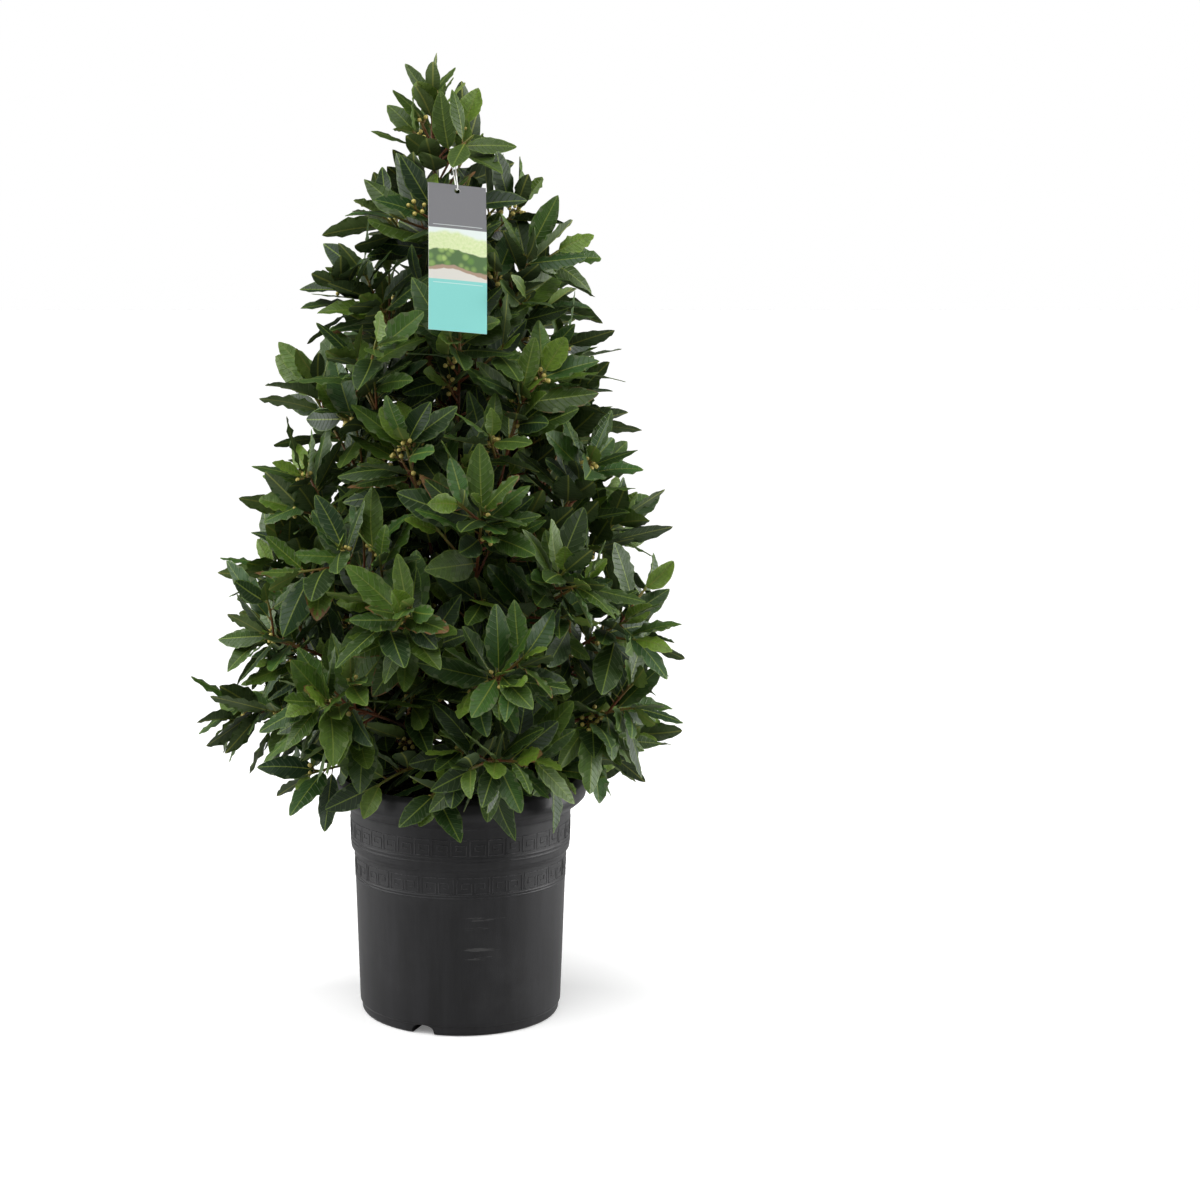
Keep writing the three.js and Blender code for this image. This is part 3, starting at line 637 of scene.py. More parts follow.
def grow_plant():
    """The sprays as the CAD source grows them. The order of growth is the same as there."""
    keep(Cloud(string_points(), STRING_OWNER))
    keep(Cloud(trunk_points(), WOOD_OWNER))
    keep(Cloud(points_along(leader_curve(), 0, 1, 16), LEADER, 3))
    keep(Cloud(points_along(tag_shoot_curve(), 0.2, 1, 8), LEADER, 3))
    heights = spray_heights()
    curves = [grow_spray(height, k) for k, height in enumerate(heights)]
    sprays = [Spray(k, grow_shoots(curve, k), spray_level(heights[k])) for k, curve in enumerate(curves)]
    sprays.append(Spray(LEADER, grow_leader(), 1))
    for spray in sprays:
        grow_leaves(spray)
        if spray.owner % SPRAYS_PER_CLUSTER == 1:
            grow_buds(spray)
    return curves, sprays


# ---------------------------------------------------------------- growth: what fills the crown


class Space:
    """Small cubes over the crown, each marked where something near it has grown."""

    CUBE = 3
    CORNER = vector(-270, -270, 180)
    COUNTS = np.array([180, 180, 250])

    def __init__(self):
        self.taken = np.zeros(self.COUNTS, bool)
        steps = np.arange(-2, 3)
        around = np.stack(np.meshgrid(steps, steps, steps), axis=-1).reshape(-1, 3)
        self.around = around[np.linalg.norm(around, axis=1) * self.CUBE <= FILL_CLEARANCE]

    def cubes(self, points, steps=0):
        """The numbers of the cubes that points are in, or of those at some steps from them."""
        cubes = ((points - self.CORNER) // self.CUBE).astype(int)[:, None] + steps
        return tuple(np.clip(cubes.reshape(-1, 3), 0, self.COUNTS - 1).T)

    def mark(self, points):
        self.taken[self.cubes(points, self.around)] = True

    def is_free(self, points):
        return not (self.taken[self.cubes(points)] | in_pot(points) | hides_tag(points)).any()


# where more leaves are tried: distance from the shoot's tip, lean off it, size
MAIN_FILL = [
    (2, 0.45, 0.5), (5, 0.6, 0.6), (9, 0.8, 0.8), (15, 0.95, 0.9), (21, 1, 1), (28, 1.1, 1), (36, 1.15, 1),
    (45, 1.15, 1), (56, 1.2, 1), (68, 1.2, 0.95), (82, 1.2, 0.9),
]
SIDE_FILL = [
    (2, 0.45, 0.5), (5, 0.7, 0.7), (12, 0.95, 0.9), (18, 1.05, 0.95), (25, 1.1, 0.95), (33, 1.15, 0.95),
]
TWIG_FILL = [
    (0.5, 0.3, 0.55), (3, 0.6, 0.7), (6, 0.8, 0.85), (11, 0.95, 0.95), (17, 1.05, 1), (24, 1.1, 1),
    (32, 1.15, 1), (41, 1.15, 0.95),
]
LEADER_FILL = [
    (0, 0.1, 0.8), (1, 0.3, 0.85), (3, 0.4, 0.8), (5, 0.45, 0.75), (8, 0.45, 0.6), (12, 0.6, 0.6),
    (18, 0.7, 0.6), (25, 0.7, 0.65), (33, 0.8, 0.65), (42, 0.8, 0.7), (50, 0.9, 0.75), (58, 1, 0.8),
    (66, 1.1, 0.85), (74, 1.1, 0.9),
]
FILL_S, FILL_T = np.meshgrid(np.linspace(0.2, 1, 10), SAMPLE_COLUMNS, indexing="ij")
FREE_ROWS = 2  # the first rows of a leaf that may come near others


def add_twig(spray, space, curve, radius, segments):
    """Adds a twig to a spray if there is room for it, and tells whether there was."""
    outer_part = points_along(curve, TWIG_ROOT, 1, segments)
    if not space.is_free(outer_part):
        return False
    space.mark(outer_part)
    spray.shoots.append(Shoot(curve, 0, radius))
    return True


def grow_twigs(spray, space, count, lengths, spot_at):
    """Thin twigs along a stem, whose point and direction at a share of it spot_at gives."""
    random = Random(TWIG_SEED + spray.owner)
    for i in range(count):
        root, direction = spot_at((i + random()) / count)
        length = random.within(*lengths)
        azimuth = random.angle()
        for _ in range(FILL_TRIES):
            curve = draw_side_shoot(random, root, direction, azimuth, length)
            inside = not outside_crown(curve[2], -SIDE_SHOOT_INSET)
            if inside and add_twig(spray, space, curve, TWIG_RADIUS, 8):
                break


def grow_low_twigs(spray, space):
    """Twigs that leave the foot of the crown and hang over the pot's rim."""
    random = Random(TWIG_SEED + spray.owner)
    root = trunk_point(LOW_TWIG_HEIGHT)
    for place in LOW_TWIG_TIPS:
        for _ in range(FILL_TRIES):
            tip = place + 14 * (vector(random(), random(), random()) - 0.5)
            curve = np.array([root, mix(root, tip, 0.55) + 16 * UP, tip])
            if add_twig(spray, space, curve, SIDE_SHOOT_RADIUS, 12):
                break


def loosen(random, leaf, amount):
    """Gives a leaf a form of its own."""
    roll = amount * random.within(-0.85, 0.85)
    across, face = leaf.across, leaf.face
    leaf.across = across * math.cos(roll) + face * math.sin(roll)
    leaf.face = face * math.cos(roll) - across * math.sin(roll)
    leaf.twist = amount * random.within(-0.6, 0.6)
    leaf.hook = amount * random.within(-0.12, 0.12)
    leaf.fold = mix(leaf.fold, random.within(-0.45, 0.25), amount)
    leaf.droop = mix(leaf.droop, mix(-0.08, 0.34, random() ** 1.5), amount)
    leaf.pointed = random.within(0.58, 0.82)


def fill_shoot(random, spray, shoot, places, space):
    """More leaves on a shoot, between those of the CAD source."""
    sag = spray.sag if spray.owner == LOW_OWNER else mix(*FILL_SAG, spray.sag)
    for i, (from_tip, lean, size) in enumerate(places):
        if from_tip > shoot.length():
            break
        young = size < YOUNG_SIZE
        width_share = random.within(*(YOUNG_WIDTH_SHARE if young else FILL_WIDTH_SHARE))
        azimuth = i * GOLDEN_ANGLE + random.angle()
        place = (*shoot.spot(from_tip), azimuth, lean, size, sag, width_share)
        for _ in range(FILL_TRIES):
            leaf = draw_leaf(random, *place)
            loosen(random, leaf, 1)
            points = leaf.point(FILL_S, FILL_T)
            inside = not outside_crown(leaf.tip(), FILL_MARGIN)
            if inside and space.is_free(points[FREE_ROWS:].reshape(-1, 3)):
                space.mark(points.reshape(-1, 3))
                leaf.youth = random.within(0.5, 1) if young else 0
                spray.leaves.append(leaf)
                break


def fill_spray(spray, space):
    random = Random(FILL_SEED + spray.owner)
    main = LEADER_FILL if spray.owner == LEADER else MAIN_FILL
    for i, shoot in enumerate(spray.shoots):
        places = TWIG_FILL if not shoot.leaves else main if i == 0 else SIDE_FILL
        fill_shoot(random, spray, shoot, places, space)


def grow_more_buds(spray):
    """Clusters of buds where leaves leave the shoots."""
    random = Random(MORE_BUDS_SEED + spray.owner)
    for shoot in spray.shoots:
        if random() > BUDDING_SHARE:
            continue
        from_tip = random.within(3, 14)
        first = random.angle()
        for i in range(int(random.within(*BUDS_ON_SHOOT))):
            root, direction = shoot.spot(min(from_tip + 3 * (i // 2), 0.9 * shoot.length()))
            along = lean_from(direction, random.within(0.5, 1.1), first + 1.1 * i)
            spray.buds.append((root, along, random.within(0.8, 1.05)))


def painted_shade_lightness(leaf):
    """How light a leaf may be: painted shade, which makes the leaves deep inside the crown darker for the
    shade that falls there.
    """
    middle = crown_middle(leaf.root[2])
    depth = np.linalg.norm(leaf.root - middle) / max(crown_radius(leaf.root[2]), 1)
    return np.interp(depth, INNER_DEPTHS, INNER_SHADE_LIGHTNESS)


def colour_leaves(spray):
    """Gives each leaf its tone, darker deep inside the crown as painted shade, and makes some of the grown
    ones young.
    """
    random = Random(COLOUR_SEED + spray.owner)
    least = LEADER_YOUTH if spray.owner == LEADER else 0
    for leaf in spray.leaves:
        leaf.tone = random() * painted_shade_lightness(leaf)
        youth = MOST_YOUTH * max(0, random() - (1 - YOUNG_SHARE)) / YOUNG_SHARE
        leaf.youth = max(leaf.youth, youth, least)


def fill_crown(sprays):
    """Grows what the CAD source leaves out, and gives each leaf its own colour and form."""
    space = Space()
    for cloud in grown:
        space.mark(cloud.points[cloud.inner :])
    for spray in sprays:
        random = Random(FORM_SEED + spray.owner)
        for leaf in spray.leaves:
            loosen(random, leaf, GROWN_LOOSENESS)
        stem = spray.shoots[0].curve
        grow_twigs(spray, space, TWIGS, TWIG_LENGTH, lambda share: spot(stem, mix(*TWIG_SPAN, share)))
    low = Spray(LOW_OWNER, [], 0)
    grow_low_twigs(low, space)
    fill_spray(low, space)
    inner = Spray(INNER_OWNER, [], 1)
    grow_twigs(
        inner, space, INNER_TWIGS, INNER_TWIG_LENGTH,
        lambda share: (trunk_point(mix(LOWEST_INNER_TWIG, TRUNK_TOP, share)), UP),
    )
    sprays.append(inner)
    for spray in sprays:
        fill_spray(spray, space)
    sprays.append(low)
    for spray in sprays:
        grow_more_buds(spray)
        colour_leaves(spray)


# ---------------------------------------------------------------- meshes


class Piece:
    """Collects the mesh of one piece: points in millimetres, with two vectors each for its materials."""

    def __init__(self):
        self.points, self.place, self.kind = [], [], []
        self.faces, self.face_materials = [], []
        self.count = 0

    def add(self, points, faces, material=0, place=(0, 0, 1), kind=(0, 0, 0)):
        """Faces are arrays with three or four corners a face. Each array may have a material of its own."""
        points = np.asarray(points, float).reshape(-1, 3)
        for block, number in zip(faces, np.broadcast_to(material, len(faces))):
            self.faces.append(np.asarray(block) + self.count)
            self.face_materials.append(np.full(len(block), number))
        self.points.append(points)
        self.place.append(np.broadcast_to(place, points.shape))
        self.kind.append(np.broadcast_to(kind, points.shape))
        self.count += len(points)

    def build(self, name, materials, smooth=True):
        """The object in metres. Edges between points whose third place value is 0 are sharp."""
        mesh = bpy.data.meshes.new(name)
        points = np.concatenate(self.points)
        corners = np.concatenate([block.ravel() for block in self.faces])
        sizes = np.concatenate([np.full(len(block), block.shape[1]) for block in self.faces])
        mesh.vertices.add(len(points))
        mesh.vertices.foreach_set("co", (points * MM).ravel())
        mesh.loops.add(len(corners))
        mesh.loops.foreach_set("vertex_index", corners)
        mesh.polygons.add(len(sizes))
        mesh.polygons.foreach_set("loop_start", np.cumsum(sizes) - sizes)
        mesh.polygons.foreach_set("material_index", np.concatenate(self.face_materials))
        mesh.polygons.foreach_set("use_smooth", np.full(len(sizes), smooth))
        mesh.update(calc_edges=True)
        place, kind = np.concatenate(self.place), np.concatenate(self.kind)
        for key, values in (("place", place), ("kind", kind)):
            mesh.attributes.new(key, "FLOAT_VECTOR", "POINT").data.foreach_set("vector", values.ravel())
        ends = np.zeros(2 * len(mesh.edges), int)
        mesh.edges.foreach_get("vertices", ends)
        sharp = (place[ends, 2] == 0).reshape(-1, 2).all(axis=1)
        mesh.attributes.new("sharp_edge", "BOOLEAN", "EDGE").data.foreach_set("value", sharp)
        for material in materials:
            mesh.materials.append(material)
        return show(name, mesh)


def show(name, data):
    """A new object in the scene."""
    made = bpy.data.objects.new(name, data)
    bpy.context.scene.collection.objects.link(made)
    return made


def finish_piece(made, slot, *nodes):
    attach(made, "root")
    if nodes:
        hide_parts(*nodes)


def numbered(rows, columns):
    """A grid of point numbers, row by row."""
    return np.arange(rows * columns).reshape(rows, columns)


def round_edge(grid):
    """The point numbers round the edge of a grid."""
    return np.array([*grid[0], *grid[1:, -1], *grid[-1, -2::-1], *grid[-2:0:-1, 0]])


def grid_faces(grid, closed=False):
    """Quads of a grid of point numbers. A closed one joins its last column to its first."""
    if closed:
        grid = np.concatenate([grid, grid[:, :1]], axis=1)
    return np.stack([grid[:-1, :-1], grid[:-1, 1:], grid[1:, 1:], grid[1:, :-1]], axis=-1).reshape(-1, 4)


def band_faces(ring, other):
    """Quads between two closed rings of point numbers."""
    return grid_faces(np.stack([ring, other]), closed=True)


def fan_faces(ring, apex, turn=False):
    """Triangles from a ring of point numbers to one point."""
    following = np.roll(ring, -1)
    sides = (following, ring) if turn else (ring, following)
    return np.stack([*sides, np.full(len(ring), apex)], axis=-1)


def skin_faces(rings, sides):
    """Faces over rings of points, closed by the two end points that follow them."""
    grid = numbered(rings, sides)
    end = rings * sides
    return [grid_faces(grid, closed=True), fan_faces(grid[0], end, turn=True), fan_faces(grid[-1], end + 1)]


def turned(outline, sides):
    """Points and faces of a body turned round Z, from an outline that starts and ends on Z."""
    rings = [np.column_stack([circle(sides) * r, np.full(sides, z)]) for r, z in outline[1:-1]]
    ends = [[0, 0, outline[0][1]], [0, 0, outline[-1][1]]]
    return np.concatenate([*rings, ends]), skin_faces(len(rings), sides)


def ball(rings, sides):
    polar = np.linspace(0, math.pi, rings + 2)[1:-1]
    return turned([(0, -1), *[(math.sin(p), -math.cos(p)) for p in polar], (0, 1)], sides)


def tube(centres, radii, sides, closed=False, dents=1):
    """A tube's points and faces along a line of centres, with round ends or closed on itself."""
    centres = np.asarray(centres, float)
    count = len(centres)
    if closed:
        steps = np.roll(centres, -1, axis=0) - np.roll(centres, 1, axis=0)
    else:
        steps = np.gradient(centres, axis=0)
    along = steps / np.linalg.norm(steps, axis=1, keepdims=True)
    side = np.cross(along[0], vector(0.3, 0.2, 0.9))
    sides_along = []
    for direction in along:
        side = unit(side - direction * (side @ direction))
        sides_along.append(side)
    side = np.array(sides_along)[:, None]
    other = np.cross(along, side[:, 0])[:, None]
    radii = np.broadcast_to(radii, count)[:, None] * dents
    x, y = circle(sides).T[..., None]
    points = (centres[:, None] + (side * x + other * y) * radii[..., None]).reshape(-1, 3)
    if closed:
        grid = numbered(count, sides)
        turn = np.argmin(np.linalg.norm(points[:sides] - points[grid[-1, 0]], axis=1))
        return points, [grid_faces(grid, closed=True), band_faces(grid[-1], np.roll(grid[0], -turn))]
    bulges = 0.6 * along[[0, -1]] * [[-radii[0].mean()], [radii[-1].mean()]]
    return np.concatenate([points, centres[[0, -1]] + bulges]), skin_faces(count, sides)


# ---------------------------------------------------------------- leaves, shoots and buds

BLADE_TOP, BLADE_UNDERSIDE, STEM, BUD = range(4)  # places in a spray's list of materials
MIDDLING = (0.5, 0, 0.5)  # tone, youth and seed of what is no leaf
BLADE_ROWS = np.array([0.1, 0.16, 0.23, 0.31, 0.39, 0.47, 0.55, 0.63, 0.71, 0.79, 0.86, 0.925, 0.97])
BLADE_START = 0.09
TOP_COLUMNS = np.array([-1, -0.6, -0.09, 0, 0.09, 0.6, 1])
UNDER_COLUMNS = np.array([-0.55, 0, 0.55])
BLADE_THICKNESS = 0.5
BLADE_CRISP = 0.12  # how far the margins crinkle, as a share of the half width
BLADE_SCALLOP = 0.03  # how far they swing out and in
BLADE_CRISPS = 4.5  # crinkles along each margin
TOP_RIB = 0.15  # how far the midrib stands out above and below
UNDER_RIB = 0.7
PETIOLE_END = 0.14
PETIOLE_RADII = (1.0, 0.8, 0.62, 0.5)


def blade_faces():
    """Faces of a blade's two skins. Its points are the top's rows, the underside's rows and two ends."""
    rows, columns, under = len(BLADE_ROWS), len(TOP_COLUMNS), len(UNDER_COLUMNS)
    top = numbered(rows, columns)
    inner = rows * columns + numbered(rows, under)
    below = np.concatenate([top[:, :1], inner, top[:, -1:]], axis=1)
    root = rows * (columns + under)
    faces = []
    for grid, turn in ((top, -1), (below, 1)):
        spans = grid.shape[1] - 1
        start = np.column_stack([grid[0, 1:], grid[0, :-1], np.full(spans, root)])
        end = np.column_stack([grid[-1, :-1], grid[-1, 1:], np.full(spans, root + 1)])
        faces += [block[:, ::turn] for block in (grid_faces(grid), start, end)]
    return faces


BLADE_FACES = blade_faces()
BLADE_MATERIALS = 3 * [BLADE_TOP] + 3 * [BLADE_UNDERSIDE]


def blade_points(leaf, columns, side):
    """Points of a blade's upper skin, side 1, or lower skin, side -1, and what its material needs there."""
    s, t = np.meshgrid(BLADE_ROWS, columns, indexing="ij")
    half = 0.5 * leaf.width * blade_shape(s, leaf.pointed)
    wave = np.sin(BLADE_CRISPS * TURN * s + 3 * leaf.phase + np.where(t > 0, 1.7, 0))
    crisp = BLADE_CRISP * half * abs(t) ** 3 * wave * (0.4 + leaf.tone)
    scalloped = t * (1 + BLADE_SCALLOP * abs(t) ** 3 * np.cos(2 * BLADE_CRISPS * TURN * s + leaf.phase))
    rib = (TOP_RIB if side > 0 else UNDER_RIB) * (t == 0) * (1 - 0.7 * s)
    lift = crisp + side * (0.5 * BLADE_THICKNESS * np.sqrt(1 - t * t) + rib)
    points = leaf.point(s, scalloped) + lift[..., None] * leaf.face
    place = np.stack([s, half * abs(t), half * (1 - abs(t))], axis=-1)
    return points.reshape(-1, 3), place.reshape(-1, 3)


def add_stem(piece, centres, radii, sides, ages, material=STEM, kind=MIDDLING, dents=1):
    """A tube whose look turns along it with its age, from bark at 0 to a green tip at 1."""
    points, faces = tube(centres, radii, sides, dents=dents)
    age = np.concatenate([np.repeat(ages, sides), ages[[0, -1]]])
    piece.add(points, faces, material, np.stack([age, 0 * age, 0 * age + 1], axis=-1), kind)


def add_leaf(piece, leaf):
    """A blade with its two skins, and its stalk."""
    kind = (leaf.tone, leaf.youth, leaf.phase / TURN)
    top, top_place = blade_points(leaf, TOP_COLUMNS, 1)
    under, under_place = blade_points(leaf, UNDER_COLUMNS, -1)
    ends = np.array([BLADE_START, 1.0])
    points = np.concatenate([top, under, leaf.point(ends, 0 * ends)])
    place = np.concatenate([top_place, under_place, [[BLADE_START, 0, 0], [1, 0, 0]]])
    piece.add(points, BLADE_FACES, BLADE_MATERIALS, place, kind)
    count = len(PETIOLE_RADII)
    s = np.linspace(-LEAF_ROOT / leaf.length, PETIOLE_END, count)
    centres = leaf.point(s, 0 * s) - 0.25 * leaf.face
    add_stem(piece, centres, np.array(PETIOLE_RADII), 4, np.linspace(0.55, 1, count), kind=kind)


def add_shoot(piece, shoot):
    """A shoot's stem, which greens from its root to its tip and ends in a pointed bud."""
    count = max(5, round(shoot.length() / 5))
    centres = points_along(shoot.curve, shoot.start, 1, count - 1)
    knots = 1 + 0.12 * np.sin(np.arange(count) * 2.4)
    radii = np.linspace(shoot.radius, SHOOT_TIP_RADIUS, count) * knots
    tip = centres[-1] + bend_direction(shoot.curve, 1.0) * np.array([[1.5], [3.5], [6]])
    centres = np.concatenate([centres, tip])
    radii = np.concatenate([radii, [1.3, 0.9, 0.25]])
    root_age = 0.5 if shoot.start == 0 else 0.35
    add_stem(piece, centres, radii, 6, np.linspace(root_age, 1, len(centres)))


BUD_POINTS, BUD_FACES = ball(5, 8)


def add_bud(piece, root, along, size):
    """A round flower bud with four faint seams, on its stalk."""
    add_stem(piece, [root, root + along * BUD_STALK], np.array([0.65, 0.55]), 5, np.array([0.75, 0.75]))
    side = unit(np.cross(along, vector(0.2, 0.5, 0.8)))
    axes = np.array([side, np.cross(along, side), along])
    angle = np.arctan2(BUD_POINTS[:, 1], BUD_POINTS[:, 0])
    radius = BUD_RADIUS * size * (1 - 0.05 * np.cos(4 * angle) ** 8)
    points = (BUD_POINTS * radius[:, None]) @ axes + root + along * (BUD_STALK + BUD_RADIUS)
    piece.add(points, BUD_FACES, BUD, (0.5, 0, 1), MIDDLING)


EXTRA_NAMES = {LEADER: "leader", INNER_OWNER: "inner", LOW_OWNER: "low"}


def make_spray(spray, materials):
    piece = Piece()
    for shoot in spray.shoots:
        add_shoot(piece, shoot)
    for leaf in spray.leaves:
        add_leaf(piece, leaf)
    for root, along, size in spray.buds:
        add_bud(piece, root, along, size)
    name = EXTRA_NAMES.get(spray.owner, f"spray_{spray.owner + 1:02d}")
    made = piece.build(name + "_foliage", materials)
    finish_piece(made, "leaf", *([name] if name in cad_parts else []))


# ---------------------------------------------------------------- trunk and limbs

TRUNK_RINGS, TRUNK_SIDES = 90, 12
LIMB_RINGS, LIMB_SIDES = 16, 8
TRUNK_AGES = (0, 0.3)  # how far the look has turned from bark to green, at both ends
LIMB_AGES = (0.1, 0.35)
ROOT_FLARE = 3.5  # how much wider the trunk is at the soil
LIMB_FLARE = 1.2


def add_wood(piece, centres, radii, sides, ages):
    """A woody stem with low lumps."""
    lumps = [[noise.noise(Vector(c * 0.08) + Vector((k, 0, 0))) for k in range(sides)] for c in centres]
    add_stem(piece, centres, radii, sides, ages, material=0, dents=1 + 0.09 * np.array(lumps))


def make_wood(curves, material):
    piece = Piece()
    heights = np.linspace(SOIL_HEIGHT - ROOT_DEPTH, TRUNK_TOP, TRUNK_RINGS)
    radii = trunk_radius(heights) + ROOT_FLARE * np.exp(-np.abs(heights - SOIL_HEIGHT) / 9)
    add_wood(piece, trunk_point(heights), radii, TRUNK_SIDES, np.linspace(*TRUNK_AGES, TRUNK_RINGS))
    for curve in curves:
        t = np.linspace(0, LIMB_SHARE, LIMB_RINGS)
        foot_radius = min(LIMB_FOOT_RADIUS, 0.8 * trunk_radius(curve[0][2]))
        radii = np.linspace(foot_radius, LIMB_END_RADIUS, LIMB_RINGS) + LIMB_FLARE * np.exp(-40 * t)
        add_wood(piece, bend(curve, t), radii, LIMB_SIDES, np.linspace(*LIMB_AGES, LIMB_RINGS))
    finish_piece(piece.build("wood", [material]), "bark", "trunk_and_limbs")


# ---------------------------------------------------------------- soil

SOIL_SIDES = 140
SOIL_RINGS = 46
SOIL_EDGE = 103.2
SOIL_ROOM_AT_WALL = 0.5
DOME_RADII = (20, 102)  # where the dome is full, and where it ends
DIP = 2.5  # how much lower the soil stands at the wall
DIP_RADII = (92, 104)
CRUMBS = 650
CRUMB_SIZE = (1.1, 3.6)


def soil_height(x, y):
    """The soil's surface, rough, a little higher at the trunk and lower at the wall."""
    radius = math.hypot(x, y)
    dome = SOIL_DOME * np.interp(radius, DOME_RADII, (1, 0))
    rough = noise.fractal(Vector((x, y, 7)) * 0.09, 0.9, 2.1, 5) * 1.5
    return SOIL_HEIGHT + dome + rough - DIP * np.interp(radius, DIP_RADII, (0, 1)) ** 2


def add_crumb(piece, random, points, faces):
    """One lump of compost or bit of bark on the surface."""
    angle, radius = random.angle(), 100 * math.sqrt(random())
    x, y = radius * math.cos(angle), radius * math.sin(angle)
    size = mix(*CRUMB_SIZE, random() ** 2)
    stretch = vector(random.within(0.7, 1.8), random.within(0.6, 1.1), random.within(0.45, 0.8))
    turn = np.array(Matrix.Rotation(random.angle(), 3, "Z") @ Matrix.Rotation(random.swing(0.6), 3, "X"))
    dents = np.array([0.8 + 0.5 * noise.noise(Vector(p * 1.7) + Vector((x, y, 0))) for p in points])
    lump = (points * dents[:, None] * stretch * size) @ turn.T
    piece.add(lump + vector(x, y, soil_height(x, y) + 0.2 * size), faces, kind=(random(), 0, 0))


def make_soil(material):
    """The soil's flat underside, its sides down the pot and its rough top with crumbs on it."""
    inset = WALL + SOIL_ROOM_AT_WALL
    underside = [(0, POT_FLOOR + GAP), (BODY_FOOT_RADIUS - inset, POT_FLOOR + GAP)]
    step = (BODY_TOP_RADIUS - inset, COLLAR_FOOT - 3)
    top = [(radius, 0) for radius in np.linspace(SOIL_EDGE, 1.5, SOIL_RINGS)]
    points, faces = turned([*underside, step, *top, (0, 0)], SOIL_SIDES)
    for point in [*points[2 * SOIL_SIDES : -2], points[-1]]:
        point[2] = soil_height(point[0], point[1])
    piece = Piece()
    piece.add(points, faces, kind=(0.3, 0, 0))
    random = Random(CRUMB_SEED)
    crumb_points, crumb_faces = ball(4, 7)
    for _ in range(CRUMBS):
        add_crumb(piece, random, crumb_points, crumb_faces)
    finish_piece(piece.build("potting_soil", [material]), "soil", "soil")


# ---------------------------------------------------------------- pot

POT_SIDES = 152
CORNER_SIZE = 1.6  # how far its corners are rounded
RELIEF = 0.38  # how far the key pattern stands out of the wall
SLOPE = 0.4  # how wide its sloping sides are
SINK = 0.4  # how far its feet stand in the wall
LINE = 1.35  # the width of its lines
KEYS = 38
UPPER_KEYS = (174.2, 188.8)  # lowest and highest line of each band of keys
LOWER_KEYS = (137.4, 152.4)
LOWER_KEYS_TURN = 0.3  # of a key's pitch, from the upper ones
RIDGES = (132.4, 134.9, 167.2, 170.8)  # plain lines round the pot
KEY_PATH = [(6, 6), (0, 6), (0, 0), (6, 0), (6, 4), (2, 4), (2, 2), (4, 2)]
KEY_UNITS = 6  # the key's width and height, in the path's units
KEY_CELLS = 7.4  # the pitch of the keys in those units


def wall_radius(height):
    """The pot's outer radius where the pattern is."""
    heights = [FOOT_HEIGHT, COLLAR_FOOT - 3, COLLAR_FOOT + 1, POT_HEIGHT - LIP_DROP - 8]
    radii = [BODY_FOOT_RADIUS, BODY_TOP_RADIUS, COLLAR_RADIUS - 0.8, COLLAR_RADIUS]
    return np.interp(height, heights, radii)


def ridge(height):
    """A plain raised line in the pot's outline."""
    half = 0.5 * LINE
    steps = [(-half - 0.3, 0), (-half + 0.1, RELIEF), (half - 0.1, RELIEF), (half + 0.3, 0)]
    return [(float(wall_radius(height + dz)) + out, height + dz) for dz, out in steps]


def softened(outline, size, steps=3):
    """The outline with its corners rounded: from each, at most size away along both of its sides."""
    points = np.array(outline, float)
    rounded = [points[0]]
    for before, corner, after in zip(points[:-2], points[1:-1], points[2:]):
        sides = (before - corner, after - corner)
        room = min(size, *(0.45 * np.linalg.norm(side) for side in sides))
        arc = np.array([corner + room * unit(sides[0]), corner, corner + room * unit(sides[1])])
        rounded.extend(points_along(arc, 0, 1, steps))
    return np.array([*rounded, points[-1]])


def pot_outline():
    """The pot's section as radius and height, from the middle of its underside round to its floor's."""
    lip_foot = POT_HEIGHT - LIP_DROP
    return [
        # foot
        (0, 0), (FOOT_RADIUS, 0), (FOOT_RADIUS + 2, 2.5), (FOOT_RADIUS + 2.2, FOOT_HEIGHT - 2),
        # body and collar
        (BODY_FOOT_RADIUS, FOOT_HEIGHT), *ridge(RIDGES[0]), *ridge(RIDGES[1]),
        (BODY_TOP_RADIUS, COLLAR_FOOT - 3), (COLLAR_RADIUS - 0.8, COLLAR_FOOT + 1),
        *ridge(RIDGES[2]), *ridge(RIDGES[3]), (COLLAR_RADIUS, lip_foot - 8),
        # lip
        (RIM_RADIUS - 4.5, lip_foot), (RIM_RADIUS - 0.7, lip_foot + 4), (RIM_RADIUS, lip_foot + 9),
        (RIM_RADIUS - 2, POT_HEIGHT - 4.5), (RIM_RADIUS - 7, POT_HEIGHT),
        (RIM_INNER_RADIUS, POT_HEIGHT - 1.6),
        # inside
        (COLLAR_RADIUS - WALL, lip_foot - 8), (COLLAR_RADIUS - 0.8 - WALL, COLLAR_FOOT + 1),
        (BODY_TOP_RADIUS - WALL, COLLAR_FOOT - 3), (BODY_FOOT_RADIUS - WALL, POT_FLOOR), (0, POT_FLOOR),
    ]


def add_bar(piece, angles, heights):
    """A raised bar of the key pattern on the pot's wall, with sloping sides."""
    slope_angle = SLOPE / wall_radius(0.5 * sum(heights))
    count = 2 + round(abs(angles[1] - angles[0]) / 0.05)
    base = np.linspace(*angles, count)
    top = np.linspace(angles[0] + slope_angle, angles[1] - slope_angle, count)
    section = [
        (base, heights[0], -SINK), (top, heights[0] + SLOPE, RELIEF),
        (top, heights[1] - SLOPE, RELIEF), (base, heights[1], -SINK),
    ]
    rows = []
    for angle, height, out in section:
        radius = wall_radius(height) + out
        x, y = radius * np.cos(angle), radius * np.sin(angle)
        rows.append(np.column_stack([x, y, np.full(count, height)]))
    grid = numbered(4, count)
    piece.add(np.concatenate(rows), [grid_faces(grid), np.array([grid[:, 0], grid[::-1, -1]])])


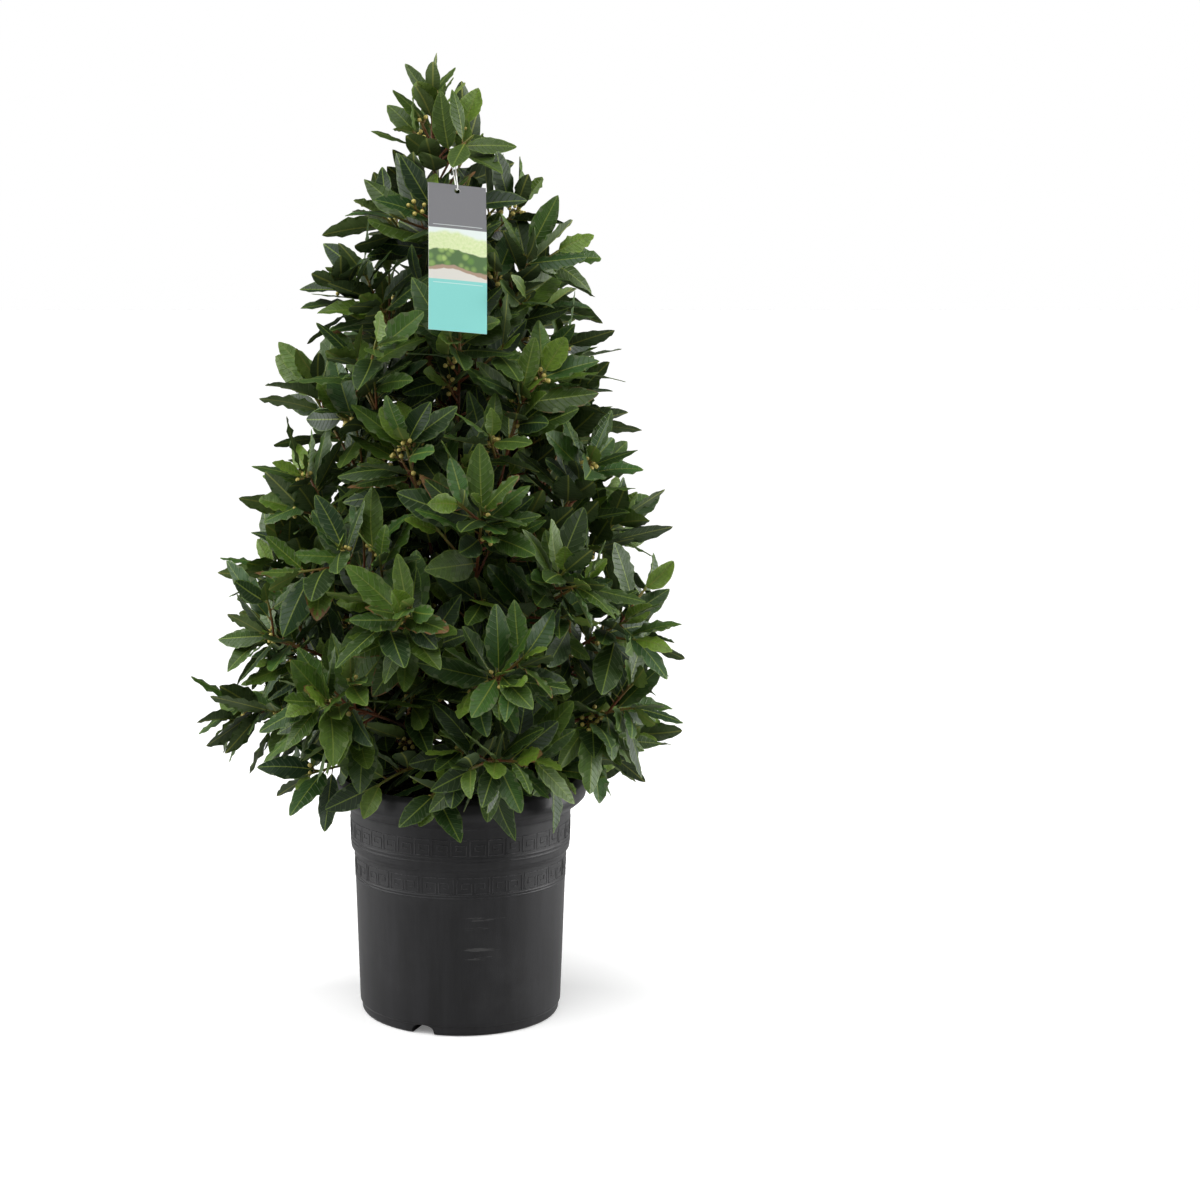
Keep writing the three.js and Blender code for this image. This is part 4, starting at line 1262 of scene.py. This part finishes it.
def add_key(piece, number, heights, mirrored):
    """One square spiral of the key pattern, as bars that meet without overlapping."""
    pitch = TURN / KEYS
    units = (pitch / KEY_CELLS, (heights[1] - heights[0]) / KEY_UNITS)
    half = np.array([0.5 * LINE / wall_radius(heights[0]), 0.5 * LINE])
    for start, end in zip(KEY_PATH[:-1], KEY_PATH[1:]):
        ends = np.array([start, end], float)
        if mirrored:
            ends[:, 0] = KEY_UNITS - ends[:, 0]
        corners = ends * units + (number * pitch, heights[0])
        heading = np.sign(ends[1] - ends[0]) * half
        corners[0] += heading * (-1 if start == KEY_PATH[0] else 1)
        corners[1] += heading
        low, high = corners.min(0), corners.max(0)
        across = heading == 0
        low[across] -= half[across]
        high[across] += half[across]
        add_bar(piece, (low[0], high[0]), (low[1], high[1]))


def drain_cutter(angle):
    """A low arch that cuts one drain channel through the pot's foot."""
    spring = DRAIN_HEIGHT * 0.35
    arc = np.linspace(0, math.pi, 13)
    rise = [(DRAIN_HALF_WIDTH * math.cos(a), spring + (DRAIN_HEIGHT - spring) * math.sin(a)) for a in arc]
    shape = [(DRAIN_HALF_WIDTH, -1), *rise, (-DRAIN_HALF_WIDTH, -1)]
    along = vector(math.cos(angle), math.sin(angle), 0)
    section = np.array([np.cross(UP, along) * x + UP * z for x, z in shape])
    inner, outer = (along * reach + section for reach in (DRAIN_INNER_END, RIM_RADIUS))
    piece = Piece()
    piece.add(np.concatenate([inner, outer, [inner.mean(0), outer.mean(0)]]), skin_faces(2, len(shape)))
    return piece.build("drain_cutter", [], smooth=False)


def cut_away(made, cutter):
    """Cuts a helper object out of a piece, and removes the helper."""
    cut = made.modifiers.new("cut", "BOOLEAN")
    cut.object = cutter
    cut.operation = "DIFFERENCE"
    cut.solver = "EXACT"
    graph = bpy.context.evaluated_depsgraph_get()
    mesh = bpy.data.meshes.new_from_object(made.evaluated_get(graph))
    made.modifiers.clear()
    made.data = mesh
    bpy.data.objects.remove(cutter)


def make_pot(material):
    piece = Piece()
    piece.add(*turned(softened(pot_outline(), CORNER_SIZE), POT_SIDES))
    pot = piece.build("nursery_pot", [material])
    for angle in DRAIN_ANGLES:
        cut_away(pot, drain_cutter(angle))
    pot.data.shade_smooth()
    pot.data.set_sharp_from_angle(angle=math.radians(35))
    finish_piece(pot, "pot_plastic", "pot")


def make_key_pattern(material):
    piece = Piece()
    for number in range(KEYS):
        add_key(piece, number, UPPER_KEYS, False)
        add_key(piece, number + LOWER_KEYS_TURN, LOWER_KEYS, number % 2 == 1)
    finish_piece(piece.build("pot_key_pattern", [material], smooth=False), "pot_plastic")


# ---------------------------------------------------------------- tag and string

TAG_CARD_THICKNESS = 0.5
TAG_BOW = 2.2  # how far the card's middle stands out of its corners
STRING_SIDES = 10
STRING_TWIST = 2.2  # radians a millimetre


def tag_bow(x, y):
    down = (TAG_HOLE_INSET - y) / TAG_HEIGHT
    return TAG_BOW * np.sin(np.pi * down) * (1 - 0.3 * (2 * x / TAG_WIDTH) ** 2) - 0.35 * TAG_BOW * down


def tag_sheet():
    """Points, faces, edge and hole of the flat card, whose round hole stands in a square of its grid."""
    near = [TAG_HOLE_INSET * share for share in (-1, -0.5, 0, 0.5, 1)]
    far = [TAG_WIDTH / 2 * share for share in (0.5, 0.75, 1)]
    xs = [*(-x for x in far[::-1]), *near, *far]
    ys = [*near[::-1], *np.linspace(-13, TAG_HOLE_INSET - TAG_HEIGHT, 16)]
    points = np.array([(x, y) for y in ys for x in xs])
    grid = numbered(len(ys), len(xs))
    quads = grid_faces(grid)
    quads = quads[(abs(points[quads].mean(axis=1)) > TAG_HOLE_INSET).any(axis=1)]
    square = round_edge(grid[: len(near), len(far) : -len(far)])
    hole = np.arange(len(square)) + len(points)
    angle = np.arctan2(points[square, 1], points[square, 0])
    points = np.concatenate([points, TAG_HOLE_RADIUS * np.column_stack([np.cos(angle), np.sin(angle)])])
    return points, np.concatenate([quads, band_faces(square, hole)]), round_edge(grid), hole


def make_tag(printed, plain):
    """The card with its printed face, its back and its edges."""
    flat, faces, edge, hole = tag_sheet()
    x, y = flat.T
    half = 0.5 * TAG_CARD_THICKNESS
    front, back = on_tag(x, y, tag_bow(x, y) + half), on_tag(x, y, tag_bow(x, y) - half)
    count = len(flat)
    walls = [band_faces(edge, edge + count), band_faces(hole, hole + count)[:, ::-1]]
    place = np.column_stack([x / TAG_WIDTH + 0.5, (TAG_HOLE_INSET - y) / TAG_HEIGHT, np.ones(count)])
    piece = Piece()
    blocks = [faces[:, ::-1], faces + count, *walls]
    piece.add(np.concatenate([front, back]), blocks, [0, 1, 1, 1], np.concatenate([place, place]))
    finish_piece(piece.build("hang_tag", [printed, plain], smooth=False), "tag_card", "tag")


def smooth_loop(points, steps):
    """Points on a smooth closed curve through the given ones, with no swing where their spacing changes."""
    step = np.roll(points, -1, axis=0) - points
    size = np.linalg.norm(step, axis=1, keepdims=True)
    heading = step / size + np.roll(step / size, 1, axis=0)
    heading /= np.linalg.norm(heading, axis=1, keepdims=True)
    slope = heading * np.minimum(size, np.roll(size, 1, axis=0))
    t = (np.arange(steps) / steps)[None, :, None]
    leaving, arriving = slope[:, None], np.roll(slope, -1, axis=0)[:, None]
    curve = points[:, None] + step[:, None] * (3 * t**2 - 2 * t**3)
    curve = curve + leaving * (t**3 - 2 * t**2 + t) + arriving * (t**3 - t**2)
    return curve.reshape(-1, 3)


def make_string(material):
    """Two-ply cotton string: the hollows between its plies turn along it."""
    centres = smooth_loop(string_route(), 16)
    length = np.cumsum(np.linalg.norm(np.diff(centres, axis=0, prepend=centres[:1]), axis=1))
    angle = np.arange(STRING_SIDES) * TURN / STRING_SIDES
    dents = 1 - 0.22 * np.cos(angle[None] - STRING_TWIST * length[:, None]) ** 2
    piece = Piece()
    piece.add(*tube(centres, STRING_RADIUS, STRING_SIDES, closed=True, dents=dents))
    finish_piece(piece.build("cotton_string", [material]), "string", "tag_string")


# ---------------------------------------------------------------- materials


class Look:
    """The node tree of a material or a world, with a short call for each kind of node."""

    def __init__(self, name, kind="materials", shader="Principled BSDF"):
        self.made = getattr(bpy.data, kind).new(name)
        self.made.use_nodes = True
        self.tree = self.made.node_tree
        self.shader = self.tree.nodes[shader]

    def node(self, kind, inputs=None, **settings):
        made = self.tree.nodes.new("ShaderNode" + kind)
        for key, value in settings.items():
            setattr(made, key, value)
        for key, value in (inputs or {}).items():
            self.feed(made.inputs[key], value)
        return made

    def feed(self, socket, value):
        if isinstance(value, bpy.types.NodeSocket):
            self.tree.links.new(value, socket)
        elif isinstance(value, tuple) and len(value) == 3 and socket.type == "RGBA":
            socket.default_value = (*value, 1)
        else:
            socket.default_value = value

    def attribute(self, name):
        """The three numbers that each point of a mesh carries under this name."""
        vector = self.node("Attribute", attribute_name=name).outputs["Vector"]
        return self.node("SeparateXYZ", {0: vector}).outputs

    def position(self):
        return self.node("TexCoord").outputs["Object"]

    def stretched(self, *scale):
        """The position, scaled along each axis."""
        return self.node("Mapping", {"Vector": self.position(), "Scale": scale}).outputs[0]

    def combined(self, x, y, z=0.0):
        """A vector of three numbers."""
        return self.node("CombineXYZ", {0: x, 1: y, 2: z}).outputs[0]

    def math(self, operation, a, b=0.0):
        return self.node("Math", {0: a, 1: b}, operation=operation).outputs[0]

    def plus(self, a, b):
        return self.math("ADD", a, b)

    def minus(self, a, b):
        return self.math("SUBTRACT", a, b)

    def times(self, a, b):
        return self.math("MULTIPLY", a, b)

    def span(self, value, low, high):
        """A number from low, where the value is 0, to high, where it is 1."""
        return self.node("MapRange", {"Value": value, "To Min": low, "To Max": high}).outputs[0]

    def between(self, value, low, high):
        """0 below low and 1 above high, or the other way round, and smooth between."""
        ends = {"From Min": low, "From Max": high, "To Min": 0.0, "To Max": 1.0}
        if low > high:
            ends = {"From Min": high, "From Max": low, "To Min": 1.0, "To Max": 0.0}
        return self.node("MapRange", {"Value": value, **ends}, interpolation_type="SMOOTHSTEP").outputs[0]

    def colour(self, factor, a, b, blend="MIX"):
        return self.node("Mix", {0: factor, 6: a, 7: b}, data_type="RGBA", blend_type=blend).outputs[2]

    def noise(self, scale, detail=3.0, vector=None, roughness=0.55):
        vector = self.position() if vector is None else vector
        inputs = {"Scale": scale, "Detail": detail, "Roughness": roughness, "Vector": vector}
        return self.node("TexNoise", inputs).outputs[0]

    def bump(self, height, strength, distance):
        """A bump of some height, in metres, which is 1 in the given value."""
        made = self.node("Bump", {"Height": height, "Strength": strength, "Distance": distance})
        self.feed(self.shader.inputs["Normal"], made.outputs[0])

    def set(self, **inputs):
        """Feeds the shader's inputs: specular_ior_level stands for its "Specular IOR Level"."""
        for key, value in inputs.items():
            self.feed(self.shader.inputs[key.replace("_", " ").title().replace("Ior", "IOR")], value)


SIDE_VEINS = 11  # in each half of a leaf


def leaf_veins(look, s, mid):
    """1 on the side veins, which leave the midrib and bend forward, and 0 between them."""
    forward = look.times(look.math("POWER", mid, 1.25), 0.075)
    row = look.minus(look.times(s, SIDE_VEINS), forward)
    wave = look.math("ABSOLUTE", look.math("SINE", look.times(row, math.pi)))
    return look.between(wave, 0.34, 0.04)


def make_leaf_top():
    """The upper side: dark and satin, with a pale midrib and margin. Young leaves are bright."""
    look = Look("leaf_top")
    s, mid, edge = look.attribute("place")
    tone, youth, seed = look.attribute("kind")
    patches = look.combined(look.times(s, 6.0), look.times(mid, 0.25), look.times(seed, 90.0))
    mottle = look.noise(1.4, 4.0, patches)
    # tone is each leaf's own random tone, made darker deep inside the crown as painted shade.
    green = look.colour(look.math("POWER", tone, 1.4), (0.011, 0.029, 0.0055), (0.052, 0.112, 0.011))
    hue = look.colour(seed, (0.78, 1.0, 1.5), (1.18, 1.03, 0.7))
    green = look.colour(1.0, green, hue, blend="MULTIPLY")
    green = look.colour(youth, green, (0.150, 0.255, 0.022))
    darker = look.colour(0.45, green, (0.008, 0.024, 0.004))
    green = look.colour(look.between(mottle, 0.3, 0.8), green, darker)
    veins = leaf_veins(look, s, mid)
    pale = look.colour(youth, (0.10, 0.17, 0.022), (0.26, 0.35, 0.05))
    green = look.colour(look.times(veins, 0.22), green, pale)
    green = look.colour(look.times(look.between(edge, 1.05, 0.45), 0.7), green, pale)
    rib = look.colour(s, (0.20, 0.24, 0.035), (0.10, 0.16, 0.025))
    green = look.colour(look.between(mid, 0.75, 0.35), green, rib)
    brown_tip = look.times(look.between(seed, 0.96, 0.97), look.between(s, 0.6, 0.95))
    burnt = look.times(look.plus(brown_tip, look.between(edge, 1.8, 0.6)), 0.62)
    burnt = look.times(look.between(look.times(burnt, mottle), 0.22, 0.3), look.between(seed, 0.95, 0.96))
    green = look.colour(burnt, green, (0.13, 0.065, 0.022))
    look.set(base_color=green, roughness=look.span(mottle, 0.38, 0.56), specular_ior_level=0.36)
    look.bump(look.minus(look.times(mottle, 0.35), look.times(veins, 0.5)), 0.8, 0.0008)
    return look.made


def make_leaf_underside():
    """The lower side: paler and duller, with a strong midrib."""
    look = Look("leaf_underside")
    s, mid, _ = look.attribute("place")
    tone, youth, _ = look.attribute("kind")
    # tone carries the painted shade deep inside the crown here too.
    green = look.colour(tone, (0.050, 0.082, 0.028), (0.075, 0.115, 0.036))
    green = look.colour(youth, green, (0.17, 0.26, 0.04))
    veins = leaf_veins(look, s, mid)
    green = look.colour(look.times(veins, 0.35), green, (0.14, 0.19, 0.05))
    green = look.colour(look.between(mid, 1.0, 0.5), green, (0.24, 0.27, 0.06))
    look.set(base_color=green, roughness=look.span(look.noise(260.0), 0.5, 0.66))
    look.bump(veins, 0.5, 0.0005)
    return look.made


def make_stem_look(name):
    """Stems: brown bark that turns reddish and then green towards the tips."""
    look = Look(name)
    age, _, _ = look.attribute("place")
    grain = look.noise(420.0, 4.0)
    bark = look.colour(look.noise(60.0), (0.030, 0.018, 0.009), (0.065, 0.040, 0.020))
    bark = look.colour(look.between(grain, 0.45, 0.7), bark, (0.016, 0.010, 0.006))
    red = look.colour(grain, (0.130, 0.034, 0.010), (0.210, 0.072, 0.022))
    green = look.colour(grain, (0.12, 0.14, 0.018), (0.20, 0.22, 0.04))
    colour = look.colour(look.between(age, 0.3, 0.6), bark, red)
    colour = look.colour(look.between(age, 0.6, 0.95), colour, green)
    look.set(base_color=colour, roughness=look.span(age, 0.8, 0.45))
    look.bump(grain, 0.6, 0.0006)
    return look.made


def make_bud_look():
    look = Look("flower_bud")
    spots = look.noise(900.0)
    colour = look.colour(look.between(spots, 0.35, 0.7), (0.66, 0.53, 0.15), (0.42, 0.36, 0.08))
    look.set(base_color=colour, roughness=0.5)
    look.bump(spots, 0.3, 0.0003)
    return look.made


def make_soil_look():
    """Dark crumbs with a few pieces of brown bark."""
    look = Look("potting_soil")
    tone, _, _ = look.attribute("kind")
    crumbs = look.noise(240.0, 6.0)
    colour = look.colour(crumbs, (0.006, 0.004, 0.003), (0.030, 0.018, 0.011))
    colour = look.colour(look.between(tone, 0.75, 1.0), colour, (0.075, 0.042, 0.022))
    look.set(base_color=colour, roughness=look.span(crumbs, 0.8, 1.0))
    look.bump(crumbs, 0.9, 0.002)
    return look.made


SCUFF_PLACE = (0.020, -0.098, 0.094)  # in metres
SCUFF_REACH = 0.034


def make_pot_look(name, dark, light):
    """Dark moulded plastic, dull, with dust, streaks down its wall and a scuff on its front. Its lighter
    copy on the raised lines is painted highlight.
    """
    look = Look(name)
    clouds = look.noise(14.0, 5.0)
    runs = look.noise(1.0, 4.0, look.stretched(90.0, 90.0, 9.0), 0.6)
    # On the pot the light colour is the plastic's own paler runs; on the raised lines it is painted
    # highlight.
    colour = look.colour(look.between(runs, 0.3, 0.75), dark, light)
    dust = look.times(look.between(clouds, 0.5, 0.75), 0.35)
    colour = look.colour(dust, colour, (0.035, 0.035, 0.037))
    streaks = look.noise(1.0, 6.0, look.stretched(16.0, 16.0, 170.0), 0.7)
    places = {0: look.position(), 1: SCUFF_PLACE}
    away = look.node("VectorMath", places, operation="DISTANCE").outputs["Value"]
    near = look.between(away, SCUFF_REACH, 0.3 * SCUFF_REACH)
    scuffs = look.between(look.plus(streaks, look.times(near, 0.16)), 0.68, 0.76)
    colour = look.colour(look.times(scuffs, 0.22), colour, (0.20, 0.20, 0.195))
    rough = look.plus(look.span(clouds, 0.42, 0.56), look.times(scuffs, 0.25))
    look.set(base_color=colour, roughness=rough, specular_ior_level=0.4)
    look.set(sheen_weight=0.12, sheen_roughness=0.35)
    look.bump(look.noise(900.0, 2.0), 0.25, 0.0003)
    return look.made


TAG_RULES = (0.285, 0.68)  # the places of the thin rules, as shares of the tag's height from its top


def make_tag_print():
    """A generic design: a grey head, a garden of hills and bushes, a turquoise foot and thin rules."""
    look = Look("tag_print")
    across, down, _ = look.attribute("place")
    grain = look.noise(1500.0, 2.0)
    grey = look.colour(grain, (0.19, 0.19, 0.20), (0.215, 0.215, 0.225))
    turquoise = look.colour(grain, (0.255, 0.68, 0.63), (0.275, 0.71, 0.66))
    leafage = look.combined(look.times(across, 7.0), look.times(down, 18.0))
    cells = look.node("TexVoronoi", {"Vector": leafage, "Scale": 1.0}).outputs
    tint = look.node("SeparateColor", {0: cells["Color"]}).outputs[0]
    bush = look.colour(tint, (0.14, 0.27, 0.07), (0.46, 0.62, 0.20))
    bush = look.colour(look.between(cells["Distance"], 0.2, 0.6), bush, (0.10, 0.18, 0.07))
    meadow = look.colour(look.noise(3.0, 4.0, leafage), (0.52, 0.70, 0.24), (0.88, 0.91, 0.66))
    hill = look.times(look.math("SINE", look.times(across, 5.0)), 0.022)
    level = look.plus(look.plus(down, hill), look.times(cells["Distance"], 0.02))
    sky, path, wall = (0.80, 0.88, 0.84), (0.42, 0.30, 0.22), (0.74, 0.72, 0.66)
    fields = [(0.345, 0.375, meadow), (0.47, 0.48, bush), (0.585, 0.595, path), (0.612, 0.618, wall)]
    colour = sky
    for start, end, field in fields:
        colour = look.colour(look.between(level, start, end), colour, field)
    colour = look.colour(look.between(down, 0.305, 0.309), grey, colour)
    colour = look.colour(look.between(down, 0.655, 0.659), colour, turquoise)
    for middle in TAG_RULES:
        away = look.math("ABSOLUTE", look.minus(down, middle))
        rule = look.times(look.between(away, 0.003, 0.002), look.between(across, 0.07, 0.08))
        rule = look.times(rule, look.between(across, 0.93, 0.92))
        colour = look.colour(look.times(rule, 0.6), colour, (0.80, 0.86, 0.84))
    look.set(base_color=colour, roughness=0.35)
    look.bump(grain, 0.1, 0.0001)
    return look.made


def make_plain_look(name, grain_scale, dark, light, bump, **settings):
    """One colour with a fine grain."""
    look = Look(name)
    grain = look.noise(grain_scale)
    look.set(base_color=look.colour(grain, dark, light), **settings)
    look.bump(grain, *bump)
    return look.made


def make_card_look():
    colours = ((0.74, 0.74, 0.71), (0.82, 0.82, 0.79))
    return make_plain_look("tag_back", 1200.0, *colours, (0.2, 0.0001), roughness=0.6)


def make_string_look():
    colours = ((0.80, 0.80, 0.77), (0.93, 0.93, 0.91))
    return make_plain_look("cotton", 2500.0, *colours, (0.5, 0.0002), roughness=0.8, sheen_weight=0.3)


# ---------------------------------------------------------------- stage, light and camera

WORLD_STRENGTH = 0.12  # of its light on the scene, while it looks plain white
FLOOR_GLOW = 0.17  # brings the floor, as it is seen, up to the white of the background
FLOOR_HALF = 40  # metres
FLOOR_DROP = 0.0002
FOCAL_PIXELS = 2350
IMAGE_PIXELS = 1200
SENSOR = 36
CAMERA_DISTANCE = 2.197
CAMERA_HEIGHT = 0.7047
CAMERA_PITCH = math.radians(-8)
AXIS_PIXELS = 460.45  # from the picture's left edge to the pot's axis


def make_camera():
    data = bpy.data.cameras.new("camera")
    data.sensor_width = SENSOR
    data.lens = SENSOR * FOCAL_PIXELS / IMAGE_PIXELS
    data.shift_x = 0.5 - AXIS_PIXELS / IMAGE_PIXELS
    camera = show("camera", data)
    camera.location = (0, -CAMERA_DISTANCE, CAMERA_HEIGHT)
    camera.rotation_euler = (math.pi / 2 + CAMERA_PITCH, 0, 0)
    bpy.context.scene.camera = camera


def make_world():
    """A plain white background that lights the scene less than it shows."""
    look = Look("studio", "worlds", "Background")
    seen = look.node("LightPath").outputs["Is Camera Ray"]
    look.set(color=(1, 1, 1), strength=look.span(seen, WORLD_STRENGTH, 1.0))
    bpy.context.scene.world = look.made


def make_light(name, kind, position, target, power, **settings):
    data = bpy.data.lights.new(name, kind)
    data.energy = power
    for key, value in settings.items():
        setattr(data, key, value)
    light = show(name, data)
    light.location = position
    light.rotation_euler = (Vector(target) - Vector(position)).to_track_quat("-Z", "Y").to_euler()


def make_lights():
    make_light("overhead", "SUN", (-0.8, -1.5, 3), (0, 0, 0), 3.1, angle=math.radians(75))
    for name, side, power in (("left_panel", -1, 30), ("right_panel", 1, 41)):
        place, target = (1.7 * side, 0.1, 0.6), (0, 0, 0.35)
        make_light(name, "AREA", place, target, power, shape="RECTANGLE", size=1.2, size_y=1.6)


def make_floor():
    mesh = bpy.data.meshes.new("floor")
    corners = [(FLOOR_HALF * x, FLOOR_HALF * y, 0) for x, y in ((-1, -1), (1, -1), (1, 1), (-1, 1))]
    mesh.from_pydata(corners, [], [(0, 1, 2, 3)])
    look = Look("floor")
    pale = look.colour(look.noise(1.5), (0.95, 0.95, 0.95), (0.97, 0.97, 0.97))
    seen = look.node("LightPath").outputs["Is Camera Ray"]
    look.set(base_color=look.colour(seen, (0.4, 0.4, 0.4), pale), roughness=0.7)
    look.set(emission_color=(1, 1, 1), emission_strength=look.times(seen, FLOOR_GLOW))
    mesh.materials.append(look.made)
    floor = show("floor", mesh)
    floor.location.z = -FLOOR_DROP


# ---------------------------------------------------------------- assembly

limb_curves, sprays = grow_plant()
fill_crown(sprays)

make_camera()
make_world()
make_lights()
make_floor()

leaf_looks = [make_leaf_top(), make_leaf_underside(), make_stem_look("shoot_skin"), make_bud_look()]
for spray in sprays:
    make_spray(spray, leaf_looks)
make_wood(limb_curves, make_stem_look("bark"))
make_soil(make_soil_look())
make_pot(make_pot_look("pot_plastic", (0.0064, 0.0062, 0.0072), (0.0130, 0.0128, 0.0146)))
# The raised lines get a much lighter copy of the pot's plastic: painted highlight, for the light that their
# top edges catch.
make_key_pattern(make_pot_look("pot_lines_painted_highlight", (0.0100, 0.0098, 0.0110), (0.0520, 0.0520, 0.0535)))
make_tag(make_tag_print(), make_card_look())
make_string(make_string_look())

bpy.context.scene.view_settings.view_transform = "Standard"
